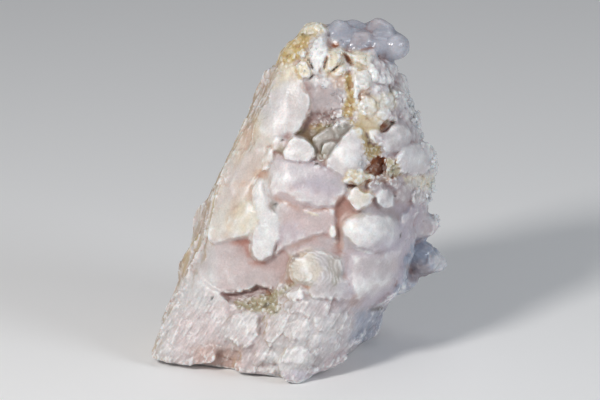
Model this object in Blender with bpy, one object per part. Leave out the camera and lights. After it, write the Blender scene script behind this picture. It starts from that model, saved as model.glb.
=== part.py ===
# Manganoan calcite specimen, one intergrown piece that stands on its broken foot.
# A lofted body carries plates, lobes, knobs and blocks of calcite, which are united with it into one solid.
# Sizes are in millimetres until a mesh is made; MM turns them into metres.
# Places on the surface are written as someone sees them from one side of the stone: across, and up.
# From the front, across is +X and the eye looks down by VIEW_TILT; up is measured from the foot of the nose.

import math
import random

import bmesh
import bpy
from mathutils import Matrix, Vector
from mathutils.bvhtree import BVHTree

MM = 0.001
VIEW_TILT = math.radians(18.0)
BODY_BOTTOM = -3.0
FLOOR_SIZE = 400.0
EYE_DISTANCE = 400.0
BODY_MIDDLE = Vector((8.0, 45.0, 60.0))
SEARCH_STEP = 0.04
RIGHT_FOOT_CLEAR = 40.0
KEPT_TRIANGLES = 0.72

CALCITE_COLOUR = (0.62, 0.50, 0.50, 1.0)
CALCITE_ROUGHNESS = 0.42

# Level of each section of the body, and its corners going round from the left ridge: ridge, two on the
# left front, nose, two on the right front, right end, four along the back, left wall.
BODY_SECTIONS = [
    (BODY_BOTTOM, [(-53, 27), (-37, 18), (-18, 11), (-1, 2), (11, 16), (20, 36),
                   (26, 58), (21, 70), (2, 76), (-22, 72), (-42, 65), (-51, 46)]),
    (10, [(-50, 27), (-34, 18), (-17, 10), (0, 2), (14, 14), (23, 33),
          (29, 56), (24, 70), (3, 77), (-22, 73), (-41, 66), (-49, 47)]),
    (26, [(-43, 28), (-26, 20), (-10, 14), (5, 6), (20, 13), (32, 30),
          (39, 55), (32, 70), (6, 78), (-18, 74), (-36, 66), (-43, 47)]),
    (44, [(-35, 30), (-22, 22), (-5, 16), (10, 10), (25, 14), (37, 28),
          (45, 52), (36, 69), (10, 76), (-13, 73), (-31, 66), (-38, 47)]),
    (62, [(-30, 32), (-16, 24), (0, 18), (14, 14), (28, 19), (38, 31),
          (45, 52), (36, 67), (12, 74), (-9, 72), (-24, 64), (-30, 47)]),
    (80, [(-22, 34), (-10, 28), (4, 25), (17, 20), (29, 24), (37, 35),
          (42, 51), (34, 64), (15, 71), (-4, 69), (-17, 61), (-22.5, 47)]),
    (96, [(-13, 37), (-4, 32), (6, 31), (16, 27), (27, 30), (34, 38),
          (37, 50), (29, 61), (15, 67), (1, 65), (-9, 58), (-14.5, 48)]),
    (108, [(-6.5, 40), (0, 36), (8, 34), (15, 32), (23, 35), (29, 41),
           (31, 49), (25, 58), (15, 62), (5, 60), (-2, 55), (-7, 48)]),
    (117, [(0, 43), (4, 40), (10, 39), (15, 38), (20, 40), (24, 43),
           (26, 48), (21, 53), (15, 56), (8, 55), (3, 52), (0.5, 48)]),
]


class Side:
    # A side that the stone is seen from: its own right and up, and the line of sight.
    def __init__(self, turn_degrees, tilt):
        turn = math.radians(turn_degrees)
        level = Vector((-math.sin(turn), math.cos(turn), 0.0))
        self.right = Vector((math.cos(turn), math.sin(turn), 0.0))
        self.up = level * math.sin(tilt) + Vector((0.0, 0.0, math.cos(tilt)))
        self.sight = level * math.cos(tilt) - Vector((0.0, 0.0, math.sin(tilt)))

    def point(self, across, up, depth):
        return self.right * across + self.up * up + self.sight * depth


FRONT = Side(0.0, VIEW_TILT)
RIGHT = Side(75.0, 0.0)
BACK = Side(180.0, 0.0)
TOP = Side(0.0, math.radians(80.0))

# Rings of a crystal from its edge to its face: the part of its outline's size, and the part of its rise.
# A plate's root is a little narrower than its edge, so the edge overhangs; a mound's root spreads.
PLATE = {"root": 0.94, "rings": [(1.0, 0.0), (0.9, 0.5), (0.55, 0.9)], "flat": False}
MOUND = {"root": 1.25, "rings": [(1.0, 0.0), (0.68, 0.72)], "flat": False}
BLOCK = {"root": 1.0, "rings": [(1.0, 0.0), (0.84, 0.9)], "flat": True}
FLAKE = {"root": 1.0, "rings": [(1.0, 1.0)], "flat": True}

jitter = random.Random(11)


def loft(sections):
    # A closed solid through level sections with the same number of corners.
    mesh = bmesh.new()
    rings = []
    for level, corners in sections:
        rings.append([mesh.verts.new(Vector((x, y, level)) * MM) for x, y in corners])
    count = len(rings[0])
    for low, high in zip(rings, rings[1:]):
        for i in range(count):
            j = (i + 1) % count
            mesh.faces.new((low[i], low[j], high[j], high[i]))
    mesh.faces.new(list(reversed(rings[0])))
    mesh.faces.new(rings[-1])
    bmesh.ops.triangulate(mesh, faces=mesh.faces)
    bmesh.ops.recalc_face_normals(mesh, faces=mesh.faces)
    return mesh


def oval(across, up, wide, tall, turn=0.0, corners=8):
    # An uneven oval outline, turned anticlockwise by turn degrees.
    angle = math.radians(turn)
    outline = []
    for i in range(corners):
        t = math.tau * (i + jitter.uniform(0.2, 0.8)) / corners
        reach = jitter.uniform(0.84, 1.12)
        x = wide * reach * math.cos(t)
        y = tall * reach * math.sin(t)
        outline.append((
            across + x * math.cos(angle) - y * math.sin(angle),
            up + x * math.sin(angle) + y * math.cos(angle),
        ))
    return outline


def rhomb(across, up, wide, tall, turn=0.0, lean=0.22):
    # The slanted four-sided face that calcite breaks along, with its corners knocked off.
    angle = math.radians(turn)
    outline = []
    for right, high in ((-0.8, -1), (0.7, -1), (1, -0.6), (1, 0.8), (0.8, 1), (-1, 1), (-1, -0.7)):
        x = (right + lean * high) * wide
        y = high * tall
        outline.append((
            across + x * math.cos(angle) - y * math.sin(angle),
            up + x * math.sin(angle) + y * math.cos(angle),
        ))
    return outline


class Stone:
    # Collects the crystals that grow on the body, and the cutters that sink its pits.
    def __init__(self, body_mesh):
        self.body = BVHTree.FromBMesh(body_mesh)
        self.growths = bpy.data.collections.new("growths")
        self.pits = bpy.data.collections.new("pits")
        for group in (self.growths, self.pits):
            bpy.context.scene.collection.children.link(group)

    def keep(self, mesh, group, name):
        bmesh.ops.recalc_face_normals(mesh, faces=mesh.faces)
        data = bpy.data.meshes.new(name)
        mesh.to_mesh(data)
        mesh.free()
        helper = bpy.data.objects.new(name, data)
        helper.hide_render = True
        helper.display_type = "WIRE"
        group.objects.link(helper)

    def depth(self, side, across, up):
        # How far along the line of sight the body is met. Past its edge, the nearest place on it counts.
        while True:
            hit = self.body.ray_cast(side.point(across, up, -EYE_DISTANCE) * MM, side.sight)
            if hit[0] is not None:
                return hit[3] / MM - EYE_DISTANCE
            middle_across = side.right.dot(BODY_MIDDLE)
            middle_up = side.up.dot(BODY_MIDDLE)
            across += (middle_across - across) * SEARCH_STEP
            up += (middle_up - up) * SEARCH_STEP

    def crystal(self, side, outline, proud, rise, facing=(0.0, 0.0), form=MOUND, seat=None, root=10.0,
                lean=0.0):
        # A plate or lump whose outline is what is seen from that side. It stands proud of the body, its
        # face bulges by rise, and its root runs into the body. facing turns the face right and up, in degrees.
        # It sits on the body behind its middle, or behind seat, or at the depth given as seat. lean moves
        # its root to the right, where the body lies beside the crystal and not behind it.
        middle = [sum(axis) / len(outline) for axis in zip(*outline)]
        if isinstance(seat, float):
            depth = seat - proud
        else:
            depth = self.depth(side, *(seat or middle)) - proud
        slope = [math.tan(math.radians(angle)) for angle in facing]
        mesh = bmesh.new()
        rings = []
        for size, height in [(form["root"], -root / rise)] + form["rings"]:
            shift = lean if height < 0 else 0.0
            ring = []
            for across, up in outline:
                a = (across - middle[0]) * size
                u = (up - middle[1]) * size
                sunk = depth + a * slope[0] + u * slope[1] - height * rise
                ring.append(mesh.verts.new(side.point(middle[0] + a + shift, middle[1] + u, sunk) * MM))
            rings.append(ring)
        count = len(outline)
        for low, high in zip(rings, rings[1:]):
            for i in range(count):
                j = (i + 1) % count
                mesh.faces.new((low[i], low[j], high[j], high[i]))
        mesh.faces.new(list(reversed(rings[0])))
        if form["flat"]:
            mesh.faces.new(rings[-1])
        else:
            peak = mesh.verts.new(side.point(middle[0], middle[1], depth - rise) * MM)
            for i in range(count):
                mesh.faces.new((rings[-1][i], rings[-1][(i + 1) % count], peak))
        bmesh.ops.triangulate(mesh, faces=[f for f in mesh.faces if len(f.verts) > 3])
        self.keep(mesh, self.growths, "crystal")

    def knob(self, side, across, up, depth, wide, tall, deep, turn=0.0, detail=1, pit=False):
        # A round knob, or the round cutter of a pit, with its middle at that depth along the line of sight.
        mesh = bmesh.new()
        bmesh.ops.create_icosphere(mesh, subdivisions=detail, radius=1.0)
        spin = Matrix.Rotation(math.radians(turn), 3, "Z")
        for vert in mesh.verts:
            local = spin @ Vector((vert.co.x * wide, vert.co.y * tall, 0.0))
            vert.co = side.point(across + local.x, up + local.y, depth + vert.co.z * deep) * MM
        self.keep(mesh, self.pits if pit else self.growths, "pit" if pit else "knob")

    def pit(self, side, across, up, wide, tall, deep, turn=0.0, proud=0.0, detail=1):
        # A hollow sunk into the stone to that depth below the body.
        depth = self.depth(side, across, up) - proud
        self.knob(side, across, up, depth, wide, tall, deep, turn, detail, pit=True)


def grow_left_plates(stone):
    # Smooth pale plates that run down the left front, and the hanging tongue.
    upper = [(-7.5, 114), (-4, 115), (-1, 113.5), (0.5, 107), (3.2, 102), (2.5, 95), (0.5, 91), (-2, 89.5),
             (-7, 88), (-13, 79), (-20, 85), (-16.5, 94), (-13, 101.5), (-10, 108)]
    stone.crystal(FRONT, upper, 2.2, 1.6, (-20, 14), PLATE)
    diagonal = [(-20.5, 91), (-15, 89), (-11.5, 80), (-13, 73), (-14, 66), (-15, 58), (-18.5, 53),
                (-25, 51.3), (-33.5, 50), (-32.5, 58), (-31, 67), (-27.5, 77.5), (-23.5, 85)]
    stone.crystal(FRONT, diagonal, 1.6, 1.8, (-24, 12), PLATE)
    tongue = [(-15, 74), (-17.3, 67), (-18.6, 60), (-18.3, 53), (-17.3, 48), (-15.3, 44.7), (-12.8, 44.5),
              (-10.3, 47), (-8.4, 51.5), (-8, 57), (-8.6, 63), (-12, 70)]
    stone.crystal(FRONT, tongue, 3.8, 2.0, (-6, 6), PLATE)
    slab = [(-33, 47.5), (-28, 51.5), (-18, 54), (-8, 52), (-3, 48), (-4, 41), (-7.5, 35), (-9.5, 32.5),
            (-12, 34), (-15.5, 34.8), (-21, 32.4), (-28, 31), (-34, 34), (-35.5, 42)]
    stone.crystal(FRONT, slab, 1.4, 1.6, (-16, 6), PLATE)
    foot = [(-34.5, 48.5), (-29, 48), (-27, 41), (-26.5, 34), (-25.5, 28), (-26, 21), (-28.5, 15),
            (-31, 7), (-42, 5.8), (-54.5, 8.6), (-52.3, 14), (-48, 25), (-42.5, 37)]
    stone.crystal(FRONT, foot, 1.8, 2.0, (-22, 10), PLATE)


def grow_left_wall(stone):
    # Three flakes that stand off the striated left wall, seen nearly edge on behind the ridge.
    top_flake = [(-8.5, 112.5), (-12.7, 113.2), (-15.2, 109), (-18, 103.5), (-18.5, 100.5), (-20.6, 96),
                 (-22.4, 91), (-20, 89), (-14.5, 95), (-10, 105)]
    middle_flake = [(-31, 68), (-35.5, 65.3), (-37.5, 63), (-39.1, 59.5), (-38.9, 54), (-39.8, 51), (-36.5, 47),
                    (-33.5, 52), (-32, 60)]
    low_flake = [(-38.8, 51.5), (-43, 46), (-45, 42), (-44.8, 36), (-46.6, 31), (-49.6, 25.5), (-51.6, 20.3),
                 (-49.4, 20), (-44.5, 32), (-38.5, 44)]
    for outline, depth in ((top_flake, 15.0), (middle_flake, 25.5), (low_flake, 30.5)):
        stone.crystal(FRONT, outline, 0.0, 0.7, (-50, 0), FLAKE, seat=depth, root=9, lean=6.5)


def grow_centre(stone):
    # The swollen middle of the front with the overlapping plates above it.
    mass = [(-12, 75), (-10, 81), (-3, 82.5), (4, 81), (10, 81), (15, 77), (16.4, 71), (14, 65), (8, 63.4),
            (1, 64.5), (-7, 64), (-12.4, 68)]
    stone.crystal(FRONT, mass, 3.2, 2.8, (-4, 14), PLATE)
    under_mass = [(-12, 67), (-3, 69), (6, 68), (12.8, 64), (13.2, 57), (12, 50), (6, 48), (0, 47),
                  (-4, 45), (-9, 46), (-10, 57)]
    stone.crystal(FRONT, under_mass, 1.6, 1.8, (-6, 4), PLATE)
    round_plate = [(-5.6, 82), (-4.2, 87), (0, 87.9), (3, 86), (5.4, 82.4), (3.5, 78), (-1, 77), (-5, 78)]
    stone.crystal(FRONT, round_plate, 5.0, 1.4, (4, 18), PLATE)
    stone.crystal(FRONT, oval(-6.5, 85.2, 3.8, 4.0, 35), 3.4, 1.2, (-6, 18))
    back_plate = [(11.2, 90.3), (12.6, 93.2), (15.5, 94.4), (19.4, 92.2), (19.6, 87), (14, 85.5), (11.4, 87)]
    stone.crystal(FRONT, back_plate, 2.8, 1.2, (6, 26), PLATE)
    side_plate = [(4.8, 87.3), (7, 89.8), (11, 91.2), (13, 88), (10, 83.4), (6.2, 81.6)]
    stone.crystal(FRONT, side_plate, 2.4, 1.1, (2, 26), PLATE)
    low_plate = [(7.6, 83.6), (9.4, 86.4), (12.2, 86.6), (13.6, 83), (10.6, 79), (8, 80)]
    stone.crystal(FRONT, low_plate, 4.2, 1.1, (2, 18), PLATE)
    fan_plate = [(12.4, 86), (15.6, 89.4), (20, 91.6), (22.8, 89), (23.4, 84), (24.4, 80.4), (23.4, 76),
                 (19, 73.6), (13.6, 74), (9.6, 77.4), (9.4, 81.6)]
    stone.crystal(FRONT, fan_plate, 4.2, 2.2, (8, 16), PLATE)
    flake = [(10.4, 55.2), (11.8, 56.8), (13.1, 54.6), (12.4, 52), (10.8, 52.6)]
    stone.crystal(FRONT, flake, 4.4, 0.7, (12, 6), BLOCK)
    lobed_plate = [(17, 66.8), (18.4, 69.4), (21, 70.3), (24.2, 69.6), (26.1, 67), (24.6, 64.4), (21.6, 62.5),
                   (18.8, 63.1)]
    stone.crystal(FRONT, lobed_plate, 4.8, 1.4, (10, 18), PLATE)
    shard = [(16.4, 72.6), (18.4, 75.8), (22.6, 76), (27.2, 73.7), (23.8, 72.2), (20.4, 70.9)]
    stone.crystal(FRONT, shard, 6.0, 0.8, (6, 28), BLOCK)


def grow_crown(stone):
    # Ochre lumps up the left slope, the white block, cracked cream blocks and the cap.
    slope_lumps = [(-4.8, 116.8, 3.2, 2.8), (-2.6, 120.2, 3.0, 2.6), (-0.6, 116.6, 3.4, 2.8),
                   (0.8, 122.8, 3.2, 2.6), (1.2, 119.0, 3.0, 2.6), (3.6, 124.8, 3.4, 2.4)]
    for across, up, wide, tall in slope_lumps:
        stone.crystal(FRONT, oval(across, up, wide, tall, 35, 7), 1.6, 1.5, (-16, 26))
    cap = [(0.4, 125.4), (2.6, 128.6), (5.4, 129.9), (8, 128.2), (10.4, 126), (6, 123.6), (2.6, 123.2)]
    stone.crystal(FRONT, cap, 1.4, 1.2, (-6, 30), seat=(7, 122))
    white_block = [(3, 114.6), (3.4, 119.6), (5, 123), (7.6, 125), (9.8, 123.4), (9.8, 118.6), (8.8, 113.6),
                   (6.6, 110.8), (4.4, 111.4)]
    stone.crystal(FRONT, white_block, 3.8, 1.4, (-12, 12), BLOCK)
    cracked_blocks = [(11.6, 115.6, 3.6, 3.6, 10), (8.6, 112.2, 2.6, 2.4, 0), (13.8, 118.4, 2.4, 2.6, 20),
                      (1.2, 112.6, 3.3, 3.6, -20), (12.8, 111.8, 2.8, 1.8, 10), (16.0, 113.0, 2.0, 2.0, 0)]
    for across, up, wide, tall, turn in cracked_blocks:
        stone.crystal(FRONT, oval(across, up, wide, tall, turn, 7), 2.8, 1.1, (4, 10), BLOCK)


def grow_bulbs(stone):
    # Round lavender bulbs along the top, the largest overhanging the right.
    bulbs = [(13.6, 126.6, 7.5, 4.4, 4.2, 5.2, 0), (18.6, 124.2, 6.5, 3.8, 3.6, 4.6, 0),
             (21.0, 125.0, 9.5, 3.4, 3.0, 4.4, 0), (24.2, 122.6, 6.5, 4.4, 3.8, 5.2, 0),
             (28.2, 121.4, 8.5, 5.0, 5.8, 6.6, 0), (27.6, 128.0, 13.5, 4.1, 3.9, 5.4, 0),
             (31.8, 126.4, 11.5, 3.8, 3.0, 5.0, -25), (29.4, 116.4, 9.5, 3.2, 3.6, 5.4, 0)]
    for across, up, depth, wide, tall, deep, turn in bulbs:
        stone.knob(FRONT, across, up, depth, wide, tall, deep, turn)
    stone.knob(FRONT, 33.4, 121.6, 7.5, 6.1, 5.1, 6.0, turn=-12, detail=2)


def grow_seam(stone):
    # The sugary recess, the crest beside the ochre seam, and the shelf under the bulbs.
    sugary = [(4.8, 107.6, 3.2, 3.0), (9.0, 107.4, 3.4, 3.4), (6.4, 102.6, 3.8, 3.8), (11.6, 102.6, 3.8, 4.0),
              (8.2, 98.0, 4.0, 3.2), (13.8, 98.4, 3.4, 3.4)]
    for across, up, wide, tall in sugary:
        stone.crystal(FRONT, oval(across, up, wide, tall, 15, 7), 0.4, 1.2, (8, 12))
    facet = [(10.6, 109.8), (15.6, 110.8), (17.2, 107), (15.8, 104.2), (12, 105)]
    stone.crystal(FRONT, facet, 1.6, 0.9, (14, 10), BLOCK)
    crest = [(17.8, 114.8), (21, 112.8), (22.4, 107.6), (22, 102), (20, 98), (18.8, 102.4), (19, 108),
             (16.6, 112.6)]
    stone.crystal(FRONT, crest, 2.8, 1.2, (10, 12))
    shelf = [(17.8, 118.8), (22, 119.8), (27, 118.8), (28, 115), (22.6, 113.6), (18.6, 115)]
    stone.crystal(FRONT, shelf, 2.0, 1.4, (12, 28))


def grow_upper_right(stone):
    # Glassy knobbly calcite that climbs the right edge, and the glassy block.
    knobs = [(22.8, 111.6, 3.4, 3.0), (26.8, 111.2, 3.6, 3.4), (30.8, 112.0, 3.2, 3.5), (24.6, 107.4, 4.0, 3.4),
             (29.4, 107.0, 4.0, 4.0), (34.0, 107.0, 3.6, 3.8), (23.4, 102.8, 4.0, 3.2), (28.6, 102.4, 4.6, 3.6),
             (34.0, 101.6, 4.2, 3.8), (24.0, 98.4, 4.6, 3.4), (30.2, 97.2, 5.0, 3.2), (36.0, 96.2, 4.2, 4.0),
             (23.8, 94.2, 4.4, 3.4)]
    for across, up, wide, tall in knobs:
        stone.crystal(FRONT, oval(across, up, wide, tall, -10, 7), 1.4, 1.8, (18, 12))
    edge_knobs = [(36.4, 108.4, 17, 2.9, 3.0, 0), (36.2, 103.6, 17, 3.4, 4.0, -6), (37.6, 98.8, 18, 3.9, 4.0, 20),
                  (39.6, 94.2, 19, 4.8, 4.6, 15), (39.2, 89.2, 20, 5.2, 4.8, -8)]
    for across, up, depth, wide, tall, turn in edge_knobs:
        stone.knob(FRONT, across, up, depth, wide, tall, 6.0, turn)
    lilac_mass = [(25, 86.2), (27.6, 90.4), (33, 93.4), (38.6, 93), (41.4, 88.4), (39.4, 83), (33, 80.8),
                  (27, 82)]
    stone.crystal(FRONT, lilac_mass, 2.6, 2.4, (32, 12))
    glassy_block = [(32.4, 79.4), (35.6, 84.2), (41, 86.9), (46, 86.4), (48.8, 81), (47.4, 76.6), (43, 74.4),
                    (38.6, 73.8), (34.6, 75.4)]
    stone.crystal(FRONT, glassy_block, 2.4, 2.6, (42, 6), PLATE, seat=(39, 80))
    edge_scales = [(45.6, 82.0, 29, 4.6, 4.6), (46.2, 77.0, 31, 4.4, 4.6), (44.4, 71.6, 30, 5.4, 3.2),
                   (39.4, 72.2, 26, 3.6, 2.6), (43.6, 67.2, 31, 4.8, 3.4)]
    for across, up, depth, wide, tall in edge_scales:
        stone.knob(FRONT, across, up, depth, wide, tall, 6.5)


def grow_cavity_rim(stone):
    # Crumbly rim round the red-brown cavity.
    rim = [(24.4, 83.8, 2.8, 2.8), (27.2, 82.8, 2.6, 2.0), (32.4, 79.2, 2.6, 3.4), (32.8, 75.4, 2.8, 2.2),
           (29.4, 74.0, 2.8, 2.0), (23.2, 77.8, 2.0, 2.8)]
    for across, up, wide, tall in rim:
        stone.crystal(FRONT, oval(across, up, wide, tall, 10, 7), 2.8, 1.2, (14, 10))


def grow_right_lobes(stone):
    # Lobes of the right middle and the smooth lavender lobes below.
    lobes = [(30.0, 66.0, 4.6, 5.0, 20), (34.4, 70.6, 3.8, 4.4, -10), (37.4, 66.2, 4.0, 3.8, 0),
             (41.8, 67.2, 3.1, 3.4, 10), (39.4, 70.4, 3.4, 2.8, 0), (38.2, 61.4, 4.6, 3.6, 15),
             (42.8, 62.2, 3.4, 3.0, -20), (26.6, 71.6, 3.0, 2.6, 0)]
    for across, up, wide, tall, turn in lobes:
        stone.crystal(FRONT, oval(across, up, wide, tall, turn), 1.8, 1.9, (22, 8))
    prongs = [(43.6, 59.4, 31, 5.2, 3.4, -25), (48.6, 57.6, 34, 3.0, 3.8, 0), (45.4, 55.0, 33, 5.2, 3.2, -10)]
    for across, up, depth, wide, tall, turn in prongs:
        stone.knob(FRONT, across, up, depth, wide, tall, 5.5, turn)
    pale_lobe = [(15.4, 57.6), (18, 60), (23, 61.4), (29, 61), (34.4, 58.6), (36, 55), (34, 50), (28, 48),
                 (22.6, 48), (18.6, 49.6), (16.4, 53.4)]
    stone.crystal(FRONT, pale_lobe, 4.2, 2.8, (26, 14), PLATE)
    great_lobe = [(17.6, 46), (25, 49), (33, 53), (36, 57.8), (40.4, 58), (42.6, 53), (41.4, 46), (39, 40),
                  (37, 34.6), (34, 30), (30.4, 28), (26.8, 27.4), (22.6, 28), (18.6, 32), (16, 39)]
    stone.crystal(FRONT, great_lobe, 3.2, 3.2, (38, 8), PLATE)
    stone.knob(FRONT, 44.6, 44.4, 37.0, 7.4, 6.6, 10.0, turn=-24, detail=2)
    stone.knob(FRONT, 49.6, 43.0, 41.0, 5.4, 4.4, 7.0, turn=-30)
    stone.knob(FRONT, 37.4, 35.0, 36.0, 7.4, 4.0, 9.0, turn=24)


def grow_lower_front(stone):
    # Rosette with its small lobes, and the scaly blocks down to the nose.
    rosette = [(-3.8, 42), (-2.2, 46), (2, 47.8), (6, 48), (10, 46.6), (13.4, 43), (15, 39), (13.6, 34.6),
               (8, 33.6), (2, 34.6), (-2.6, 37)]
    stone.crystal(FRONT, rosette, 2.8, 3.0, (2, 12), PLATE)
    blocks = [
        ([(-6.2, 32.6), (-3.2, 35.6), (1, 35.4), (1, 31), (-2.4, 29), (-5.4, 29.4)], 4.2, 1.4, (0, 8)),
        ([(4, 34.6), (10, 36.2), (16, 36.8), (20.4, 34.8), (20.6, 30.6), (16.6, 27.6), (10, 27),
          (4.4, 29)], 2.6, 2.0, (10, 10)),
        ([(-25, 24), (-21, 26.4), (-15, 26), (-11, 22), (-12, 15), (-17.6, 11.4), (-23, 10.8),
          (-29, 14), (-27.4, 19)], 2.6, 2.6, (-16, 10)),
        ([(-13, 24.6), (-8, 26.2), (-3.6, 24.6), (-2.6, 20), (-5.4, 14.6), (-10.4, 11.6), (-15.6, 12),
          (-14.6, 19)], 3.4, 2.0, (-6, 10)),
        ([(-26, 26), (-20, 29.4), (-14, 30.6), (-8.6, 30.4), (-5, 27), (-8, 23.6), (-16, 23),
          (-22, 23.6)], 0.8, 1.2, (-12, 36)),
        ([(-5, 30), (2, 31), (9, 29.4), (12, 25.6), (10.6, 19), (5.4, 15), (-1, 14.4), (-5.6, 18),
          (-6.6, 25)], 3.2, 2.0, (2, 14)),
        ([(8, 28.4), (15, 29.4), (21, 27), (23.6, 22), (20.8, 15.4), (13.6, 12), (7, 13), (5, 20)],
         3.0, 2.2, (28, 10)),
    ]
    for outline, proud, rise, facing in blocks:
        stone.crystal(FRONT, outline, proud, rise, facing)
    foot_blocks = [
        ([(19.6, 28), (25, 26.6), (30.0, 25.2), (30.4, 20), (28.6, 16.2), (24.6, 14.4), (19.4, 12.6),
          (17.4, 18)], 1.4, 1.6, (42, 8)),
        ([(-24.4, 5.2), (-22.4, 11), (-16, 13.4), (-8, 13.6), (-4.4, 9), (-7.4, 4.4), (-12, 3), (-18, 3.2),
          (-23, 3.8)], 1.4, 1.6, (-10, 10)),
        ([(-9.4, 13.6), (-3, 16.8), (3, 17), (10, 15), (16, 11), (18, 8.4), (11, 5.4), (6, 3.6), (0, -0.4),
          (-3.4, 0), (-7, 2.4)], 1.6, 2.0, (20, 12)),
    ]
    for outline, proud, rise, facing in foot_blocks:
        stone.crystal(FRONT, outline, proud, rise, facing, PLATE)


def grow_right_side(stone):
    # Rounded lobes that carry on round the right side, seen from the right. Those near the back edge turn
    # towards the back.
    side_lobes = [(52, 105, 6, 6), (51, 92, 8, 7), (55, 79, 9, 8), (56, 64, 9, 8), (58, 48, 9, 9),
                  (53, 33, 9, 8), (47, 19, 8, 7), (58, 18, 8, 7)]
    edge_lobes = [(60, 100, 7, 7), (63, 86, 8, 8), (66, 72, 8, 8), (69, 57, 8, 9), (70, 42, 7, 9),
                  (67, 28, 8, 8), (70, 15, 7, 7)]
    for lobes, turn_back in ((side_lobes, 2.0), (edge_lobes, 34.0)):
        for across, up, wide, tall in lobes:
            proud = min(0.4, (up - RIGHT_FOOT_CLEAR) * 0.06)
            stone.crystal(RIGHT, oval(across, up, wide, tall, 20), proud, 1.6, (turn_back, 8))


def grow_back(stone):
    # The back is a broken face: broad cleavage steps that break through each other, nearly parallel.
    steps = [(-13, 95, 9, 12, 1.0, -16, -2, 14), (-18, 77, 11, 14, 1.6, 12, -14, 9),
             (-1, 79, 12, 13, 0.9, -20, 13, 15), (10, 61, 12, 14, 1.7, 10, 18, 8),
             (-8, 53, 15, 13, 1.3, -14, -6, 7), (-20, 38, 10, 16, 1.9, 8, -14, 11),
             (2, 31, 14, 13, 2.1, -18, 3, 6), (21, 35, 11, 17, 1.5, 8, 23, 12),
             (-11, 14, 13, 12, 1.1, 6, -6, 9), (13, 11, 14, 10, 1.2, -6, 13, 4)]
    for across, up, wide, tall, proud, turn, right, lift in steps:
        stone.crystal(BACK, rhomb(across, up, wide, tall, turn), proud, 0.5, (right, lift), BLOCK)
    growths = [(-19, 110, 6.0, 6.0), (-11, 111, 6.0, 5.4), (-3, 108, 5.6, 5.6), (-26, 97, 5.6, 7.0)]
    for across, up, wide, tall in growths:
        stone.crystal(BACK, oval(across, up, wide, tall, 15), 0.4, 2.0, (-6, 12))


def grow_top(stone):
    # Low lumps over the top between the bulbs and the cap, seen from above.
    lumps = [(6, 66, 4.0, 3.6), (11, 70, 4.2, 3.8), (18, 72, 4.8, 4.0), (24, 70, 3.8, 3.6), (14, 64, 4.6, 3.8)]
    for across, up, wide, tall in lumps:
        stone.crystal(TOP, oval(across, up, wide, tall), 1.0, 1.6)


def sink_pits(stone):
    # The shadowed hollow beside the upper plate, the red-brown cavity, and smaller pits and notches.
    stone.pit(FRONT, 6.0, 92.8, 7.4, 3.2, 4.0, turn=24, proud=0.8)
    stone.pit(FRONT, 27.4, 78.4, 3.9, 3.1, 7.0, turn=35, proud=2.0)
    stone.pit(FRONT, 29.8, 91.8, 2.1, 1.5, 4.4, turn=35, proud=2.0)
    stone.pit(FRONT, 12.7, 121.0, 1.7, 1.3, 3.6, turn=0, proud=2.0)
    stone.pit(FRONT, 17.9, 116.6, 2.8, 0.8, 3.2, turn=-48, proud=2.0)
    stone.pit(FRONT, 28.0, 26.2, 3.4, 1.0, 4.6, turn=4, proud=1.6)
    stone.pit(FRONT, 14.4, 57.6, 1.5, 6.4, 4.2, turn=-4, proud=1.8)
    stone.pit(FRONT, 16.0, 64.4, 2.0, 1.8, 3.4, turn=20, proud=1.6)
    stone.pit(FRONT, -16.6, 31.6, 6.4, 2.0, 4.6, turn=-2, proud=1.2)


def cut_floor(group):
    # The block below the ground level, which leaves the broken foot flat.
    mesh = bmesh.new()
    bmesh.ops.create_cube(mesh, size=FLOOR_SIZE * MM)
    bmesh.ops.translate(mesh, verts=mesh.verts, vec=(0.0, 0.0, -FLOOR_SIZE / 2 * MM))
    data = bpy.data.meshes.new("ground_cutter")
    mesh.to_mesh(data)
    mesh.free()
    cutter = bpy.data.objects.new("ground_cutter", data)
    cutter.hide_render = True
    cutter.display_type = "WIRE"
    group.objects.link(cutter)


def calcite_material():
    material = bpy.data.materials.new("pink_calcite")
    material.use_nodes = True
    shader = material.node_tree.nodes["Principled BSDF"]
    shader.inputs["Base Color"].default_value = CALCITE_COLOUR
    shader.inputs["Roughness"].default_value = CALCITE_ROUGHNESS
    shader.inputs["Metallic"].default_value = 0.0
    material.diffuse_color = CALCITE_COLOUR
    return material


def combine(body, operation, group):
    join = body.modifiers.new(operation.lower(), "BOOLEAN")
    join.operation = operation
    join.operand_type = "COLLECTION"
    join.collection = group
    join.solver = "EXACT"


def unite(body, stone):
    # The growths are joined to the body, slivers along their seams are collapsed, and then the pits are
    # sunk and the foot is cut flat.
    combine(body, "UNION", stone.growths)
    simplify = body.modifiers.new("simplify", "DECIMATE")
    simplify.ratio = KEPT_TRIANGLES
    combine(body, "DIFFERENCE", stone.pits)
    evaluated = body.evaluated_get(bpy.context.evaluated_depsgraph_get())
    return bpy.data.meshes.new_from_object(evaluated)


def keep_outer_shell(data):
    # Pockets that neighbouring growths close off between them are solid stone: only the outer skin stays.
    mesh = bmesh.new()
    mesh.from_mesh(data)
    unseen = set(mesh.faces)
    shells = []
    while unseen:
        shell = []
        waiting = [unseen.pop()]
        while waiting:
            face = waiting.pop()
            shell.append(face)
            for edge in face.edges:
                for neighbour in edge.link_faces:
                    if neighbour in unseen:
                        unseen.discard(neighbour)
                        waiting.append(neighbour)
        shells.append(shell)
    shells.sort(key=len)
    for shell in shells[:-1]:
        bmesh.ops.delete(mesh, geom=shell, context="FACES")
    print("closed pockets filled", len(shells) - 1)
    mesh.to_mesh(data)
    mesh.free()


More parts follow.
